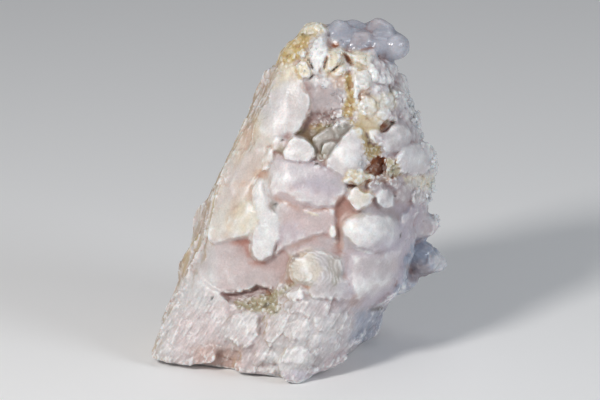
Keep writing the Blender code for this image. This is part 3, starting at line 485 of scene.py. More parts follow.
# What is plain to see in front, from the back forwards: how far it stands out, how its height changes
# across and upwards, how far it bulges, how wide its edge is, all in mm, and its outline.
forms = {
    "footFace": (0.6, 0.02, 0, 0, 2, [
        (-60, 2), (-50, 22), (-42, 40), (-30, 33.5), (-26.8, 28), (-25.4, 24), (-27.4, 18), (-29.6, 13),
        (-32, 3)]),
    "brownFlat": (-0.8, 0, -0.06, 0, 1.6, [
        (-31, 11.4), (-26, 12), (-22.4, 11.2), (-20.6, 9), (-22, 5), (-32, 5)]),
    "leftFacet": (-0.7, 0.02, 0, 0, 1, [
        (-22.5, 90), (-20.5, 91.5), (-15.6, 96), (-17, 91), (-17.8, 87), (-19.8, 82.6), (-23.6, 84)]),
    "longPlate": (0.7, 0.05, 0, 0.3, 1.6, [
        (-19.4, 82.8), (-16.6, 86), (-13, 86), (-10.4, 82), (-12.5, 77.5), (-14.5, 76), (-15.8, 73.6),
        (-17.3, 69), (-19.3, 65.5), (-24, 63.5), (-34, 60), (-32, 68), (-28, 78), (-25, 84)]),
    "creamFold": (1.5, 0, 0, 0.3, 1, [
        (-13.4, 77), (-12.4, 80.6), (-10.6, 84.6), (-9.2, 84.4), (-9.6, 80.4), (-11.6, 76.6)]),
    "shoulder": (0.5, 0.01, -0.04, 0.3, 1.2, [
        (-31, 61), (-25, 63), (-20, 60), (-17.6, 54), (-20, 52), (-25, 51.8), (-28, 50.6), (-36, 48.6),
        (-35, 56)]),
    "creamLobe": (1, 0.02, -0.04, 0.5, 1.3, [
        (-18.4, 65.6), (-15.6, 62.6), (-14.8, 58), (-16.6, 54.4), (-18.6, 52.9), (-21, 51.9), (-25, 51.6),
        (-27.6, 54.4), (-26, 58.6), (-22.8, 63.4), (-20.4, 65.4)]),
    "pinkSlab": (-0.8, -0.01, -0.04, 0, 1.6, [
        (-37, 45.4), (-34, 49), (-29, 50.2), (-24, 51.4), (-19, 52.6), (-15, 50), (-9, 50), (-3.4, 46.6),
        (-4, 42), (-5.4, 38.6), (-7.4, 36), (-9.4, 33), (-11.4, 34), (-15.6, 34.9), (-20.5, 32.6),
        (-24, 32.4), (-28, 33), (-33, 34), (-36, 40)]),
    "mauveRecess": (-2.2, 0, -0.34, 0, 0.9, [
        (-28, 32.2), (-24, 32.2), (-20.5, 32.6), (-15.6, 34.9), (-11.4, 34.2), (-9.4, 33), (-8.6, 30),
        (-10, 27.2), (-16, 26.6), (-22, 27.4), (-26, 29.8)]),
    "pinkShelf": (-0.6, 0, 0.03, 0, 2, [
        (-4, 46.8), (0, 50.6), (6, 51.6), (13, 51), (15.6, 48), (14, 44.6), (6, 48.6), (0, 46.6)]),
    "underMass": (0.7, 0.03, -0.02, 0.6, 1.4, [
        (-10.5, 62), (-8, 64.5), (-4, 65.5), (1, 62.6), (7, 62), (12.4, 63.6), (12.8, 58), (12.4, 55),
        (10.2, 54.2), (7.2, 53.6), (3.6, 52.6), (-0.6, 51.2), (-4, 49.4), (-6.6, 48), (-9, 46), (-7, 52)]),
    "centreMass": (0.7, 0, -0.03, 0.6, 3.2, [
        (-11, 75.5), (-10, 79.5), (-7.5, 82.5), (-4, 81), (0, 79.8), (4, 79.6), (8, 78), (12, 77.5),
        (15.2, 75), (16.8, 71), (16, 67.4), (13.6, 65.8), (10, 63.4), (7, 63.4), (2, 64), (-3, 66),
        (-6.5, 67.8), (-9, 67), (-11.2, 70)]),
    "paleOval": (1.1, 0, -0.03, 0.4, 2.6, [
        (-3, 70.8), (1.8, 72.3), (7.8, 72.6), (12.6, 71.7), (14.4, 69.3), (13.8, 65.7), (12, 63.3),
        (7.8, 63), (3.6, 63.9), (-1.2, 65.7), (-3.3, 68.1)]),
    "tongue": (1.2, -0.1, -0.04, 0.6, 1.2, [
        (-15, 73.6), (-16.6, 69), (-16.4, 65), (-15.2, 62), (-15, 58), (-16.4, 55), (-18, 51.3),
        (-17.6, 48), (-16.2, 45.2), (-14.1, 44), (-11.8, 44.6), (-9.6, 46.8), (-7.8, 51.3), (-6.8, 56.8),
        (-8.2, 60.6), (-10.6, 62.4), (-12.4, 67.5), (-13.8, 72)]),
    "upperPlate": (0.7, 0.02, -0.02, 0.4, 1, [
        (-8.5, 115), (-4, 115.4), (-1.2, 113.5), (-0.6, 110), (0.6, 106), (2.2, 104.3), (3.6, 102.5),
        (3.9, 99), (2.8, 96), (1.2, 93), (-0.8, 90.5), (-2, 88.8), (-4, 89.8), (-5.4, 88.8), (-8, 87.5),
        (-10, 85.5), (-13, 84), (-16, 86), (-17, 92), (-15, 97), (-13, 101), (-10.5, 107)]),
    "sugaryRecess": (-0.2, 0.03, 0.03, 0, 1.4, [
        (1.4, 106), (3.8, 103), (4.1, 99), (4.4, 96.6), (10, 97), (15, 96.5), (16.6, 100), (17, 106),
        (15.5, 110), (11, 110.4), (6.5, 110), (4.5, 108.6)]),
    "hollow": (-1.3, 0, 0.06, 0, 1.4, [
        (-2.4, 88.6), (0, 90.2), (1.8, 93), (3.2, 96), (6, 97.2), (10, 96.6), (13, 95), (15.2, 95),
        (13, 92.4), (9, 90.8), (5.4, 88.6), (4.9, 86.6), (5.9, 83.6), (4.6, 84.6), (2.6, 87.4), (0, 88.4)]),
    "greyPlateOne": (-0.5, -0.08, 0.16, 0, 0.7, [
        (4.9, 87.6), (6.4, 88.9), (9, 90), (11.6, 91.6), (13.4, 90), (13.6, 87), (11, 85), (8.6, 84),
        (6.6, 82.6), (5.6, 84)]),
    "greyPlateTwo": (0.3, -0.06, 0.18, 0, 0.7, [
        (11.2, 90.8), (12.2, 92.6), (14.6, 94.2), (17.6, 94.6), (20.4, 92.6), (20.4, 90), (16.5, 88),
        (13.2, 87.6)]),
    "greyPlateThree": (0.7, -0.06, 0.18, 0, 0.7, [
        (7.8, 84.6), (9, 86.2), (12, 86.6), (14, 85.4), (13, 81.6), (10.6, 79.6), (8.4, 80.6)]),
    "fanPlate": (2.1, -0.05, 0.1, 0.4, 0.8, [
        (10.2, 80.4), (12.6, 84.6), (15, 88), (18.4, 91), (21, 91.6), (22.4, 89), (23, 85), (24.8, 80.6),
        (23.6, 77), (19.6, 73.8), (15.6, 73.4), (11.4, 76.2), (9.4, 78.6)]),
    "smallPlate": (1.3, 0, 0.04, 0.3, 0.9, [
        (-9.8, 83.5), (-10.6, 86.6), (-9, 88.4), (-6.6, 88), (-4.4, 87.2), (-4.2, 84.8), (-6.8, 82.4)]),
    "roundPlate": (2.1, 0.03, 0.06, 0.4, 0.8, [
        (-6.6, 82.6), (-4.8, 84.6), (-4.4, 87), (-2.4, 88.2), (1.4, 87.7), (3.4, 86), (5.2, 83.4),
        (5.3, 81.4), (3, 79.6), (-1, 79.4), (-4.6, 80.4)]),
    "ochreSeam": (-0.3, 0, 0, 0, 1, [
        (15.6, 110), (17.4, 112.4), (19.2, 109), (19.6, 103), (20, 98), (21.6, 93), (18.4, 94.4),
        (15.6, 95), (16.6, 99), (16.8, 105)]),
    "seamKnob": (0.7, 0, 0, 0.4, 0.8, [(11.6, 95.4), (12.4, 97.6), (14.4, 98), (15.4, 96.4), (14, 95)]),
    "warmFacet": (0.3, 0, 0.03, 0.3, 0.9, [
        (10.8, 109.6), (13, 110.2), (16.6, 110.4), (17.4, 106.6), (15.6, 105), (12.6, 105.6), (11, 107.4)]),
    "crest": (1.4, 0, 0, 0.5, 0.9, [
        (19, 113.5), (21.4, 113), (24.6, 109.6), (24.4, 106), (21.4, 104.6), (20.6, 101), (19.6, 99.4),
        (19.2, 104), (18.4, 109)]),
    "orangeFacet": (0.5, 0, 0, 0.4, 0.9, [
        (20.6, 103.4), (22, 105), (24.8, 104.6), (25.4, 102.4), (23, 101)]),
    "creamLumpOne": (0.8, 0.05, 0.05, 0.4, 1, [
        (20.2, 97.2), (21, 100.4), (24.4, 102.4), (27.6, 101.8), (28, 98.6), (25.6, 96.6), (22.6, 95.6)]),
    "creamLumpTwo": (1, -0.04, 0.08, 0.4, 1, [
        (25.2, 105), (29, 107), (33.6, 105.4), (34.6, 102.4), (31.6, 100), (28, 101.6)]),
    "creamLumpThree": (0.6, 0, 0.05, 0.3, 1, [
        (27, 97), (30.4, 98.4), (33.6, 96.6), (31.6, 94.9), (28, 94.9)]),
    "whiteCrest": (1.3, 0, 0, 1, 1.2, [
        (25, 113), (28, 116), (32, 114.4), (33.2, 111), (32.6, 107.4), (28, 107), (25.6, 109)]),
    "lilacLump": (1.4, 0, 0, 1.3, 1.4, [
        (24.6, 91), (28.2, 91), (29.4, 89.8), (32, 91.2), (34, 93), (38, 92.6), (40.4, 89), (39.6, 85.4),
        (36, 83.6), (31, 81.8), (28.4, 84.4), (25.4, 86.8)]),
    "brownPit": (-2.8, 0, 0, 0, 0.8, [
        (28.4, 92.6), (30.2, 94.6), (33, 94.4), (34.8, 93.6), (32.4, 92.2), (31, 90.2), (29, 89.8)]),
    "ochrePocket": (-0.7, 0, 0, 0, 1, [
        (22.6, 86.8), (25, 86), (28.4, 84), (29, 81.6), (25.6, 81), (23.4, 82.6)]),
    "glassBlock": (1.9, 0, 0, 1.4, 1.4, [
        (34.6, 76.6), (34, 80.4), (37, 84), (41, 86.8), (44.4, 86), (47.6, 83), (48.2, 78), (45.6, 75),
        (41, 74.6), (37.6, 75)]),
    "cavityRim": (0.9, 0, 0, 0, 0.9, [
        (30.4, 81.4), (33.4, 80), (35.6, 77), (34, 74.2), (31, 73.4), (28.2, 72.4), (27.6, 74.2),
        (30.2, 75.6)]),
    "cavity": (-2.6, 0.1, 0.05, 0, 0.75, [
        (22.6, 75.2), (23.8, 77.2), (25, 78.2), (25.8, 80.4), (28, 81.4), (28.8, 80.6), (30, 80.9),
        (29.8, 79.6), (30.9, 79), (30.2, 78), (31.2, 77.2), (30.2, 76.4), (30.4, 75.2), (28.6, 75.4),
        (27.2, 74.2), (25.4, 74.9)]),
    "lobeTwo": (1.5, 0, 0, 1, 1.1, [
        (30.4, 72.6), (32.6, 74.6), (35, 74.2), (36.6, 71.4), (34.4, 69), (31.6, 70.6)]),
    "pinkLobe": (1.3, 0, 0, 0.8, 1.1, [
        (23.6, 71.6), (26, 73.6), (29.4, 71.8), (30, 68), (27, 66.6), (24.8, 69.4)]),
    "lobeOne": (2.1, 0, 0, 1.1, 1.1, [
        (26.8, 66.4), (28.6, 69.6), (31.4, 70.6), (33.4, 68), (33.9, 64), (32.4, 62.2), (28.6, 62)]),
    "lobeThree": (1, 0, 0, 1, 1.1, [
        (34.4, 68.4), (36, 71), (39.4, 71.6), (40, 68.6), (39.4, 65.6), (36.6, 63.8), (34.4, 65.6)]),
    "lobeFive": (1.5, 0, 0, 1, 1.1, [
        (35.6, 58.4), (37.6, 61.6), (41, 64), (45, 62.6), (44, 59), (40, 57), (37, 56.6)]),
    "lobeFour": (2.3, 0, 0, 1, 1.1, [
        (40, 66), (40.6, 68.8), (43, 69.8), (45.6, 67.6), (45.8, 65), (43, 63.4), (41, 63.6)]),
    "shard": (2.5, 0, 0, 0.3, 0.8, [
        (15.6, 72.6), (17, 73.6), (17.6, 75.8), (19.6, 75), (21.6, 76.4), (23.6, 75), (27.4, 73.8),
        (23, 72.8), (21, 70.8), (18.4, 72)]),
    "redTriangle": (-1.3, 0, 0, 0, 0.8, [(17.2, 71.2), (20.4, 71), (19, 68.4)]),
    "fissure": (-0.8, 0, 0, 0, 2.2, [
        (12.9, 63), (14, 65.4), (16.4, 66.8), (18, 65), (19.4, 62.4), (21.6, 61.6), (20.6, 60.2),
        (17.4, 59.6), (15.6, 57.6), (15, 54), (15, 49), (13.2, 48.4), (12.9, 53), (12.7, 58)]),
    "lobedPlate": (2.4, 0, -0.03, 0.5, 0.8, [
        (17, 66.4), (18, 69.4), (20.4, 70.4), (22.4, 68.4), (24.6, 68.8), (26.6, 67.4), (25.4, 64.4),
        (22.6, 63), (20.4, 62.2), (18.6, 63.4)]),
    "flake": (1.8, 0, 0, 0, 0.7, [
        (10.5, 54.6), (11.2, 56.8), (12.7, 56), (13, 53.6), (12, 51.6), (10.8, 52.8)]),
    "creamSliver": (1.1, 0, 0, 0.2, 0.8, [
        (1.6, 62), (4.4, 61.6), (7.2, 60.8), (6.8, 59.9), (4, 60.4), (1.8, 61)]),
    "greatLobe": (0.9, 0, 0, 1.6, 5, [
        (17, 45.4), (21, 47.4), (28, 47.6), (36, 53), (39, 57), (42, 54), (42, 50), (40, 45.4), (37.4, 41),
        (37, 38), (36, 34), (34.6, 31), (31.6, 28.4), (28, 27.4), (25, 28.2), (23.6, 29.2), (20.4, 28),
        (18, 31), (17, 36)]),
    "paleLobe": (1.5, -0.04, -0.03, 1.2, 1.6, [
        (15.3, 56.4), (16.2, 58.6), (19, 59.6), (23, 60), (28, 61), (33, 60), (36.6, 57.4), (37.4, 53),
        (34, 48.6), (28, 46.6), (22, 48.2), (19, 49.6), (18, 50.6), (16.6, 52.4), (15.2, 54)]),
    "lowShade": (-2, 0, 0, 0, 0.9, [
        (23.8, 27.6), (28, 27.2), (32, 28), (31, 25.2), (27, 25.2), (24.6, 25.6)]),
    "knobGap": (-1.3, 0, 0, 0, 0.9, [(37.2, 41), (38.6, 39), (39.4, 36.6), (38, 35.8), (36.6, 37.6)]),
    "scaleOne": (0.6, 0, -0.03, 0.3, 1, [
        (-6, 29.4), (0, 29.6), (5, 30.2), (8, 29.4), (10.4, 27.6), (9, 25), (2, 24), (-5, 25.6)]),
    "whiteShelf": (1.1, 0, -0.06, 0.3, 1, [
        (2.4, 34), (6.6, 35.4), (12, 35.4), (17, 35.6), (19.8, 32), (18, 30.2), (12, 29.6), (6, 31),
        (4, 31.4)]),
    "rosetteFan": (1.2, -0.04, 0, 0.8, 1.4, [
        (-4.6, 41.6), (-3, 45.2), (0, 45.6), (3, 47.4), (6.4, 48), (9.4, 47), (12, 45.2), (15, 44),
        (15.6, 41), (14.6, 38), (17.6, 37), (17, 35), (12, 34.4), (6.6, 35.2), (2, 35.4), (-1.4, 36.2),
        (-4, 38)]),
    "rosetteMiddle": (2, -0.05, 0, 0.6, 1.2, [
        (-3.8, 40.4), (-3.4, 42.6), (-1, 44.8), (3, 44.6), (5.6, 42), (5.4, 38.6), (3.2, 36.4),
        (-0.6, 36.4), (-3, 38)]),
    "smallLobe": (1.5, 0, 0, 0.5, 0.9, [
        (-5.4, 31.8), (-3, 34.2), (-0.4, 34.8), (1.6, 33.6), (1, 31), (-1.4, 29.8), (-4, 30.4)]),
    "paleBlock": (1.2, 0, -0.04, 0.6, 1.8, [
        (-25.4, 24), (-23, 26.2), (-18, 26.6), (-14.6, 25), (-13.6, 20.6), (-16, 15.6), (-19.6, 12),
        (-22.6, 13.2), (-25, 14.6), (-28.4, 15.8), (-27, 20)]),
    "lowGroove": (-1, 0, 0, 0, 2, [(-13.4, 25), (-12, 20), (-13.4, 17), (-15, 19), (-14.6, 24)]),
    "scaleTwo": (0.4, 0.05, -0.03, 0.3, 1.2, [
        (-11.6, 24), (-6, 25.4), (-3.8, 20), (-6, 14), (-11, 12.4), (-12.4, 18)]),
    "scaleThree": (0.7, 0, -0.06, 0.3, 1.2, [(-3.4, 24), (4, 23.6), (3.4, 17.4), (0, 15), (-3.4, 17)]),
    "scaleFour": (0.8, 0, -0.05, 0.3, 1.2, [
        (4.6, 24.4), (10, 25.6), (17, 25), (18.4, 21), (12, 18.4), (5, 19)]),
    "whiteScales": (0.7, 0, 0, 0.4, 1.3, [
        (-20.6, 9.6), (-14, 11.6), (-8.6, 10.6), (-7, 6), (-12, 3), (-22, 3)]),
    "noseLobe": (1.6, 0, 0, 1, 1.5, [
        (-7.4, 9.8), (-4, 13.2), (2, 13.4), (5, 10), (4.6, 6), (2, 4.4), (-3, 4), (-6, 5.6)]),
    "lowRight": (0.9, 0, -0.04, 0.4, 1.2, [
        (3.2, 14), (4, 17.4), (9, 18.6), (14, 17.6), (18.4, 14), (17, 10), (12, 7.6), (6, 8.6)]),
    "blueBlock": (-0.8, 0, 0, 0.3, 1, [(21, 13), (21, 20), (24, 24), (32, 25), (32, 16), (26, 13)]),
    "ochreLumpOne": (1, 0, 0, 0.7, 0.9, [
        (-7.8, 115.4), (-5.6, 119.4), (-3, 119.8), (-1.6, 117), (-3.4, 115.4)]),
    "ochreLumpTwo": (1.2, 0, 0, 0.7, 0.9, [
        (-4.4, 120.6), (-1.4, 123.6), (1.4, 123.4), (1.2, 120.6), (-2, 119.8)]),
    "ochreLumpThree": (1.2, 0, 0, 0.6, 0.8, [(-1, 118.8), (1, 120.2), (3, 119), (2.4, 116.4), (0, 116.2)]),
    "capBand": (0.9, 0, -0.08, 0.2, 0.8, [(1.4, 123.6), (4, 125), (7, 124.8), (5.6, 122.4), (2.6, 121)]),
    "cap": (1.2, 0, 0, 0.5, 0.9, [
        (-0.4, 125.4), (2.6, 129), (5.6, 130), (9, 128), (9.8, 126), (5.4, 125.4), (2.4, 124.9)]),
    "whiteBlock": (2.2, 0.05, 0, 0.3, 0.8, [
        (3, 116.8), (3.4, 119.6), (5.4, 122.6), (7.4, 124.8), (9.4, 124.4), (10.2, 120.4), (9.4, 117),
        (8, 113), (6.6, 111), (5, 111.6), (4.4, 114)]),
    "creamBlockOne": (2, -0.06, 0, 0.2, 0.7, [
        (10.4, 118.4), (12.6, 119.4), (14.6, 118.2), (14.6, 115), (13.2, 113.2), (11, 111.6), (9.2, 112.2),
        (10, 115.6)]),
    "creamBlockTwo": (1.6, 0, -0.05, 0.2, 0.7, [
        (10.8, 110.4), (12.4, 112.2), (15, 113.2), (16.4, 111), (13.6, 109.7)]),
    "creamBlockThree": (1.7, 0, -0.05, 0.2, 0.7, [
        (-1.4, 113.4), (0.6, 115.8), (2.4, 115.2), (3.2, 113.2), (4.2, 111.2), (3.4, 109.3), (1, 109.4),
        (-0.6, 110.8)]),
    "creamBlockFour": (1, 0, 0, 0.2, 0.8, [
        (6.6, 110.4), (7.8, 112.8), (9.4, 111.8), (10, 110), (8.4, 109.2)]),
    "smallWhiteOne": (0.6, 0, 0, 0.2, 0.8, [(3.6, 108.2), (6, 110), (7.2, 107.6), (5.4, 105.8)]),
    "smallWhiteTwo": (0.7, 0, 0, 0.3, 0.9, [
        (7.4, 109.2), (9.6, 109.6), (10.8, 107.6), (9, 105.6), (7.4, 107)]),
    "redCrack": (-2.4, 0, 0, 0, 0.7, [
        (14.8, 119.4), (16.4, 118.8), (18.2, 116), (20, 113.4), (18, 114), (15.8, 116.2)]),
    "brownHole": (-2, 0, 0, 0, 0.8, [(11.2, 120.4), (12.6, 122.4), (14.2, 121.4), (13.6, 119.8)]),
    "tanShelf": (1.2, 0, -0.04, 0.4, 1, [
        (17.4, 118.4), (20, 118.2), (24.6, 119), (26.8, 116), (24.4, 113.6), (20.6, 114.4)]),
    "shelfCrease": (-1.5, 0, 0, 0, 0.9, [(18, 119.8), (24, 120.6), (28, 122), (25.4, 119.8), (19, 118.9)]),
    "whiteCrumb": (1.6, 0, 0, 0.5, 0.8, [(14, 112.6), (15.4, 113.4), (16.2, 112.2), (15, 111)]),
}

# Roughness of each part: the size of the waves in mm, their seed, how many layers, and their height in mm
waves = {
    "outlines": (3.6, 400, 2, 0.5),
    "swell": (12.0, 420, 2, 0.3),
    "growthSteps": (10.0, 430, 3, 2.4),
    "sides": (9.0, 1, 2, 0.3),
    "front": (6.0, 45, 2, 0.22),
    "strokes": (2.2, 98, 1, 1.0),
    "wall": (2.4, 100, 2, 0.4),
    "teeth": (1.6, 130, 1, 0.25),
    "foot": (7.0, 145, 2, 0.3),
}

# small flat faces: their size in mm, seed, slope, height of their steps in mm, and which way they lean
flakes = {
    "outlines": (1.7, 410, 0.0, 0.45),
    "sides": (5.5, 40, 0.09, 0.06),
    "crumbs": (1.7, 60, 0.35, 0.25),
    "back": (9.0, 85, 0.12, 0.3),
    "scales": (4.6, 90, 0.10, 0.12, (0.0, 0.4, 0.0)),
    "fineScales": (1.4, 95, 0.15, 0.05, (0.0, 0.6, 0.0)),
    "wall": (1.8, 105, 0.2, 0.2),
    "foot": (2.6, 140, 0.3, 0.7),
}


def waved(place, name):
    size, seed, layers, height = waves[name]
    return softNoise(place, size, seed, layers) * height


def flaked(place, name):
    return facets(place, *flakes[name])


def solidCopy(node):
    # the CAD solid with its loose triangles joined up
    mesh = bmesh.new()
    mesh.from_mesh(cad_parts[node].data)
    bmesh.ops.remove_doubles(mesh, verts=mesh.verts, dist=1e-7)
    data = bpy.data.meshes.new(node + "Copy")
    mesh.to_mesh(data)
    mesh.free()
    return data


def joined(meshes, name):
    mesh = bmesh.new()
    for part in meshes:
        mesh.from_mesh(part)
    data = bpy.data.meshes.new(name)
    mesh.to_mesh(data)
    mesh.free()
    return data


def finerOutline(outline, steps):
    # each step cuts every corner off
    points = np.array(outline, dtype=float)
    for step in range(steps):
        after = np.roll(points, -1, axis=0)
        points = np.stack((points * 0.75 + after * 0.25, points * 0.25 + after * 0.75), axis=1).reshape(-1, 2)
    return points


def reliefAt(seen):
    # how far the front stands out at each point of the view, one form laid over the other
    flat = np.column_stack((seen, np.zeros(len(seen))))
    wander = waved(flat, "outlines") + flaked(flat, "outlines")
    height = waved(flat, "swell")
    layers = waved(flat, "growthSteps")
    steps = np.floor(layers) + ramp(0.35, 0.65, layers % 1.0) - layers
    for level, slopeAcross, slopeUp, bulge, edge, outline in forms.values():
        points = np.array(outline, dtype=float)
        low = points.min(axis=0) - 3
        high = points.max(axis=0) + 3
        near = np.nonzero(((seen > low) & (seen < high)).all(axis=1))[0]
        if len(near) == 0:
            continue
        # the widest and the sharpest edges wander least
        wild = np.interp(edge, (0.7, 1.0, 1.6), (0.5, 1.0, 0.35))
        finer = finerOutline(outline, 1 if edge > 0.95 else 0)
        reach = distanceIn(seen[near], finer) + wander[near] * wild
        weight = ramp(-edge / 2, edge / 2, reach)
        gap = seen[near] - points.mean(axis=0)
        rise = level + gap[:, 0] * slopeAcross + gap[:, 1] * slopeUp
        rise = rise + bulge * (1 - np.exp(-np.maximum(reach, 0) / 2.5))
        if edge < 1.25 and level > 0:
            rise += stoneShape["lip"] * np.exp(-np.maximum(reach, 0) / 0.7)
        height[near] += (rise * stoneShape["relief"] - height[near]) * weight
    return height + steps * stoneShape["growthSteps"]


def depthsSeen(mesh, seen, looked):
    # how deep behind the nose the mesh lies at the points looked at, and nan where there is none
    corners = [Vector(p) for p in placesOf(mesh)]
    tree = BVHTree.FromPolygons(corners, [tuple(face.vertices) for face in mesh.polygons])
    depth = np.full(len(seen), np.nan)
    eyeDistance = 300.0
    starts = placeAt(seen[:, 0], seen[:, 1], np.full(len(seen), -eyeDistance))
    for i in np.nonzero(looked)[0]:
        hit = tree.ray_cast(Vector(starts[i]), Vector(-eyeWay))
        if hit[0] is not None:
            depth[i] = hit[3] - eyeDistance
    return depth


def generalShape(seen, depth, known):
    # a smooth surface through the known depths
    a = seen[:, 0] / 50
    u = (seen[:, 1] - 65) / 60
    terms = np.column_stack([a ** i * u ** j for i in range(6) for j in range(6 - i)])
    return terms @ np.linalg.lstsq(terms[known], depth[known], rcond=None)[0]


def frontField(soft):
    # the front as one field of depths behind the view, and how far the solid has to keep back from it
    step = stoneShape["fieldStep"]
    across = np.arange(*stoneShape["fieldAcross"], step)
    up = np.arange(*stoneShape["fieldUp"], step)
    seen = np.stack(np.meshgrid(across, up), axis=2).reshape(-1, 2)
    reach = distanceIn(seen, fieldOutline)
    depth = depthsSeen(soft, seen, reach > -1.5)
    known = ~np.isnan(depth)
    depth[~known] = 0.0
    # the general shape, then what is left of the solid's relief when smoothed
    general = generalShape(seen, depth, known)
    softness = stoneShape["fieldSoftness"]
    blurAcross = np.exp(-((across[:, None] - across) / softness) ** 2 / 2)
    blurUp = np.exp(-((up[:, None] - up) / softness) ** 2 / 2)
    size = (len(up), len(across))
    total = blurUp @ ((depth - general) * known).reshape(size) @ blurAcross
    share = blurUp @ known.astype(float).reshape(size) @ blurAcross
    level = general + (total / np.maximum(share, 1e-6)).ravel()
    blend = ramp(0.0, stoneShape["fieldRim"], reach)
    drawn = depth + (level - reliefAt(seen) - depth) * blend
    used = known & (reach > 0)
    # at its rim the shell dives under the solid, and further in the solid keeps 1 mm behind the shell
    shell = drawn + 1.5 * (1 - ramp(0.0, 0.3, blend))
    keepBack = np.where(used, drawn + ramp(0.2, 0.6, blend), -999.0)
    return across, up, seen, used, shell, keepBack


def shellOf(across, up, seen, used, depth):
    # a closed sheet whose front is the field
    size = (len(up), len(across))
    number = np.full(len(seen), -1)
    number[used] = np.arange(used.sum())
    number = number.reshape(size)
    front = placeAt(seen[used, 0], seen[used, 1], depth[used])
    back = placeAt(seen[used, 0], seen[used, 1], depth[used] + stoneShape["fieldThickness"])
    corners = (number[:-1, :-1], number[:-1, 1:], number[1:, 1:], number[1:, :-1])
    corners = np.stack(corners, axis=2).reshape(-1, 4)
    corners = corners[(corners >= 0).all(axis=1)]
    ends = np.concatenate([corners[:, (k, (k + 1) % 4)] for k in range(4)])
    count = len(front)
    code = ends[:, 0] * count + ends[:, 1]
    rim = ends[~np.isin(code, ends[:, 1] * count + ends[:, 0])]
    walls = np.column_stack((rim[:, 1], rim[:, 0], rim[:, 0] + count, rim[:, 1] + count))
    faces = np.concatenate((corners, corners[:, ::-1] + count, walls))
    data = bpy.data.meshes.new("frontShell")
    data.from_pydata((np.concatenate((front, back)) * mm).tolist(), [], faces.tolist())
    return data


def roughStone():
    # the solid with the front field grown over it
    soft = voxelled(solidCopy("calcite_specimen"), stoneShape["firstVoxel"], "softStone")
    setPlaces(soft, relaxed(soft, placesOf(soft), stoneShape["firstSmoothing"], 0.5))
    across, up, seen, used, shell, keepBack = frontField(soft)
    place = placesOf(soft)
    seenPlace = seenFrom(place)
    square = np.round((seenPlace - (across[0], up[0])) / stoneShape["fieldStep"]).astype(int)
    column = np.clip(square[:, 0], 0, len(across) - 1)
    row = np.clip(square[:, 1], 0, len(up) - 1)
    depth = (nose - place) @ eyeWay
    further = np.maximum(keepBack[row * len(across) + column] - depth, 0.0)
    setPlaces(soft, place - np.outer(further, eyeWay))
    sheet = shellOf(across, up, seen, used, shell)
    return voxelled(joined([soft, sheet], "grownStone"), stoneShape["voxel"], "fineStone")


def knobsLift(place):
    # large and small knobs, in mm
    return (lumps(place, 5.6, 70) - 0.6) * 1.6 + (lumps(place, 2.4, 80) - 0.6) * 1.0


def bulbsLift(seen):
    # round heads, deep creases between them, in mm
    near = np.full(len(seen), 9.0)
    for across, up, radius in bulbPlaces:
        near = np.minimum(near, np.hypot(seen[:, 0] - across, seen[:, 1] - up) / radius)
    return (np.sqrt(np.clip(1 - near * near * 0.8, 0, 1)) - 0.7) * 4.0


def footNotches(place, normal):
    # small notches all along the broken front edge of the foot
    edge = ramp(0.25, 0.7, -normal[:, 1]) * ramp(2.6, 0.4, place[:, 2])
    flat = np.column_stack((place[:, 0], place[:, 1] * 0.4, np.zeros(len(place))))
    return edge * (np.maximum(flaked(flat, "foot"), 0.0) + waved(flat, "foot") + 0.3)


def detailed(mesh):
    # the fine relief, laid on along the surface's own direction
    place = relaxed(mesh, placesOf(mesh), stoneShape["smoothing"], 0.5)
    setPlaces(mesh, place)
    ground = ramp(0.2, 2.2, place[:, 2])[:, None]
    normal = normalsOf(mesh)
    seen = seenFrom(place)
    front = frontness(normal)
    wall = leftWallness(place, normal)
    field = ramp(0.0, 5.0, distanceIn(seen, fieldOutline)) * front

    # how rough each part is
    bulbs = inside(seen, zones["bulbs"], 3.0)
    crown = inside(seen, zones["crown"], 3.0) * front
    knobbly = inside(seen, zones["knobbly"], 5.0) * (1 - crown) * (1 - bulbs)
    low = inside(seen, zones["lowerThird"], 6.0) * front
    back = 1 - frontness(normal, -0.5, 0.0)
    smoothKnobs = inside(seen, zones["smoothKnobs"], 3.0)
    crumbly = crown * 0.4 + knobbly * (1 - smoothKnobs) * 0.3
    for name in ("seam", "rims", "crumbs", "stain"):
        crumbly = np.maximum(crumbly, inside(seen, zones[name], 2.5) * front)

    lift = waved(place, "sides") * (1 - field * 0.7)
    lift += flaked(place, "sides") * (1 - bulbs) * (1 - field)
    lift += waved(place, "front") * field
    lift += flaked(place, "crumbs") * crumbly
    lift += knobsLift(place) * knobbly * (1 - smoothKnobs)
    lift += flaked(place, "back") * back
    lift += bulbsLift(seen) * bulbs * front

    # scales and strokes of the lower third
    turned = np.column_stack((place @ alongStroke * 0.4, place @ acrossStroke, place @ eyeWay * 0.4))
    lift += flaked(turned, "scales") * low
    lift += flaked(turned, "fineScales") * low
    lift += waved(turned, "strokes") * (0.03 * field + 0.07 * low)

    # the wall's strokes run with the ridge
    wallWay = np.cross(wallFacing, ridgeWay)
    striped = np.column_stack((place @ ridgeWay * 0.06, place @ wallWay, place[:, 0] * 0.1))
    lift += (waved(striped, "wall") + flaked(striped, "wall")) * wall

    # slanting folds of the long face, upright growth lines of the upper plate, and the rosette's rings
    lift += foldsAt(place, seen)[0] * front
    rings, shown = ringsAt(place, seen)
    lift += (rings - 0.5) * 0.2 * (inside(seen, zones["rosette"], 3.0) * front) * shown

    # the rims are toothed
    teeth = waved(place, "teeth") * (1 - field) * (1 - bulbs) * (1 - wall)
    place = place + normal * ((lift + teeth)[:, None] * ground)
    place[:, 2] += footNotches(place, normal)
    setPlaces(mesh, np.clip(place, boxLow, boxHigh))
    keep(mesh, "strokes", np.clip(low + 0.2 * field, 0, 1) * (1 - knobbly) * (1 - bulbs) * front)
    keep(mesh, "gloss", np.clip(bulbs + inside(seen, zones["knob"], 3.0) + knobbly * 0.8, 0, 1))
    return mesh


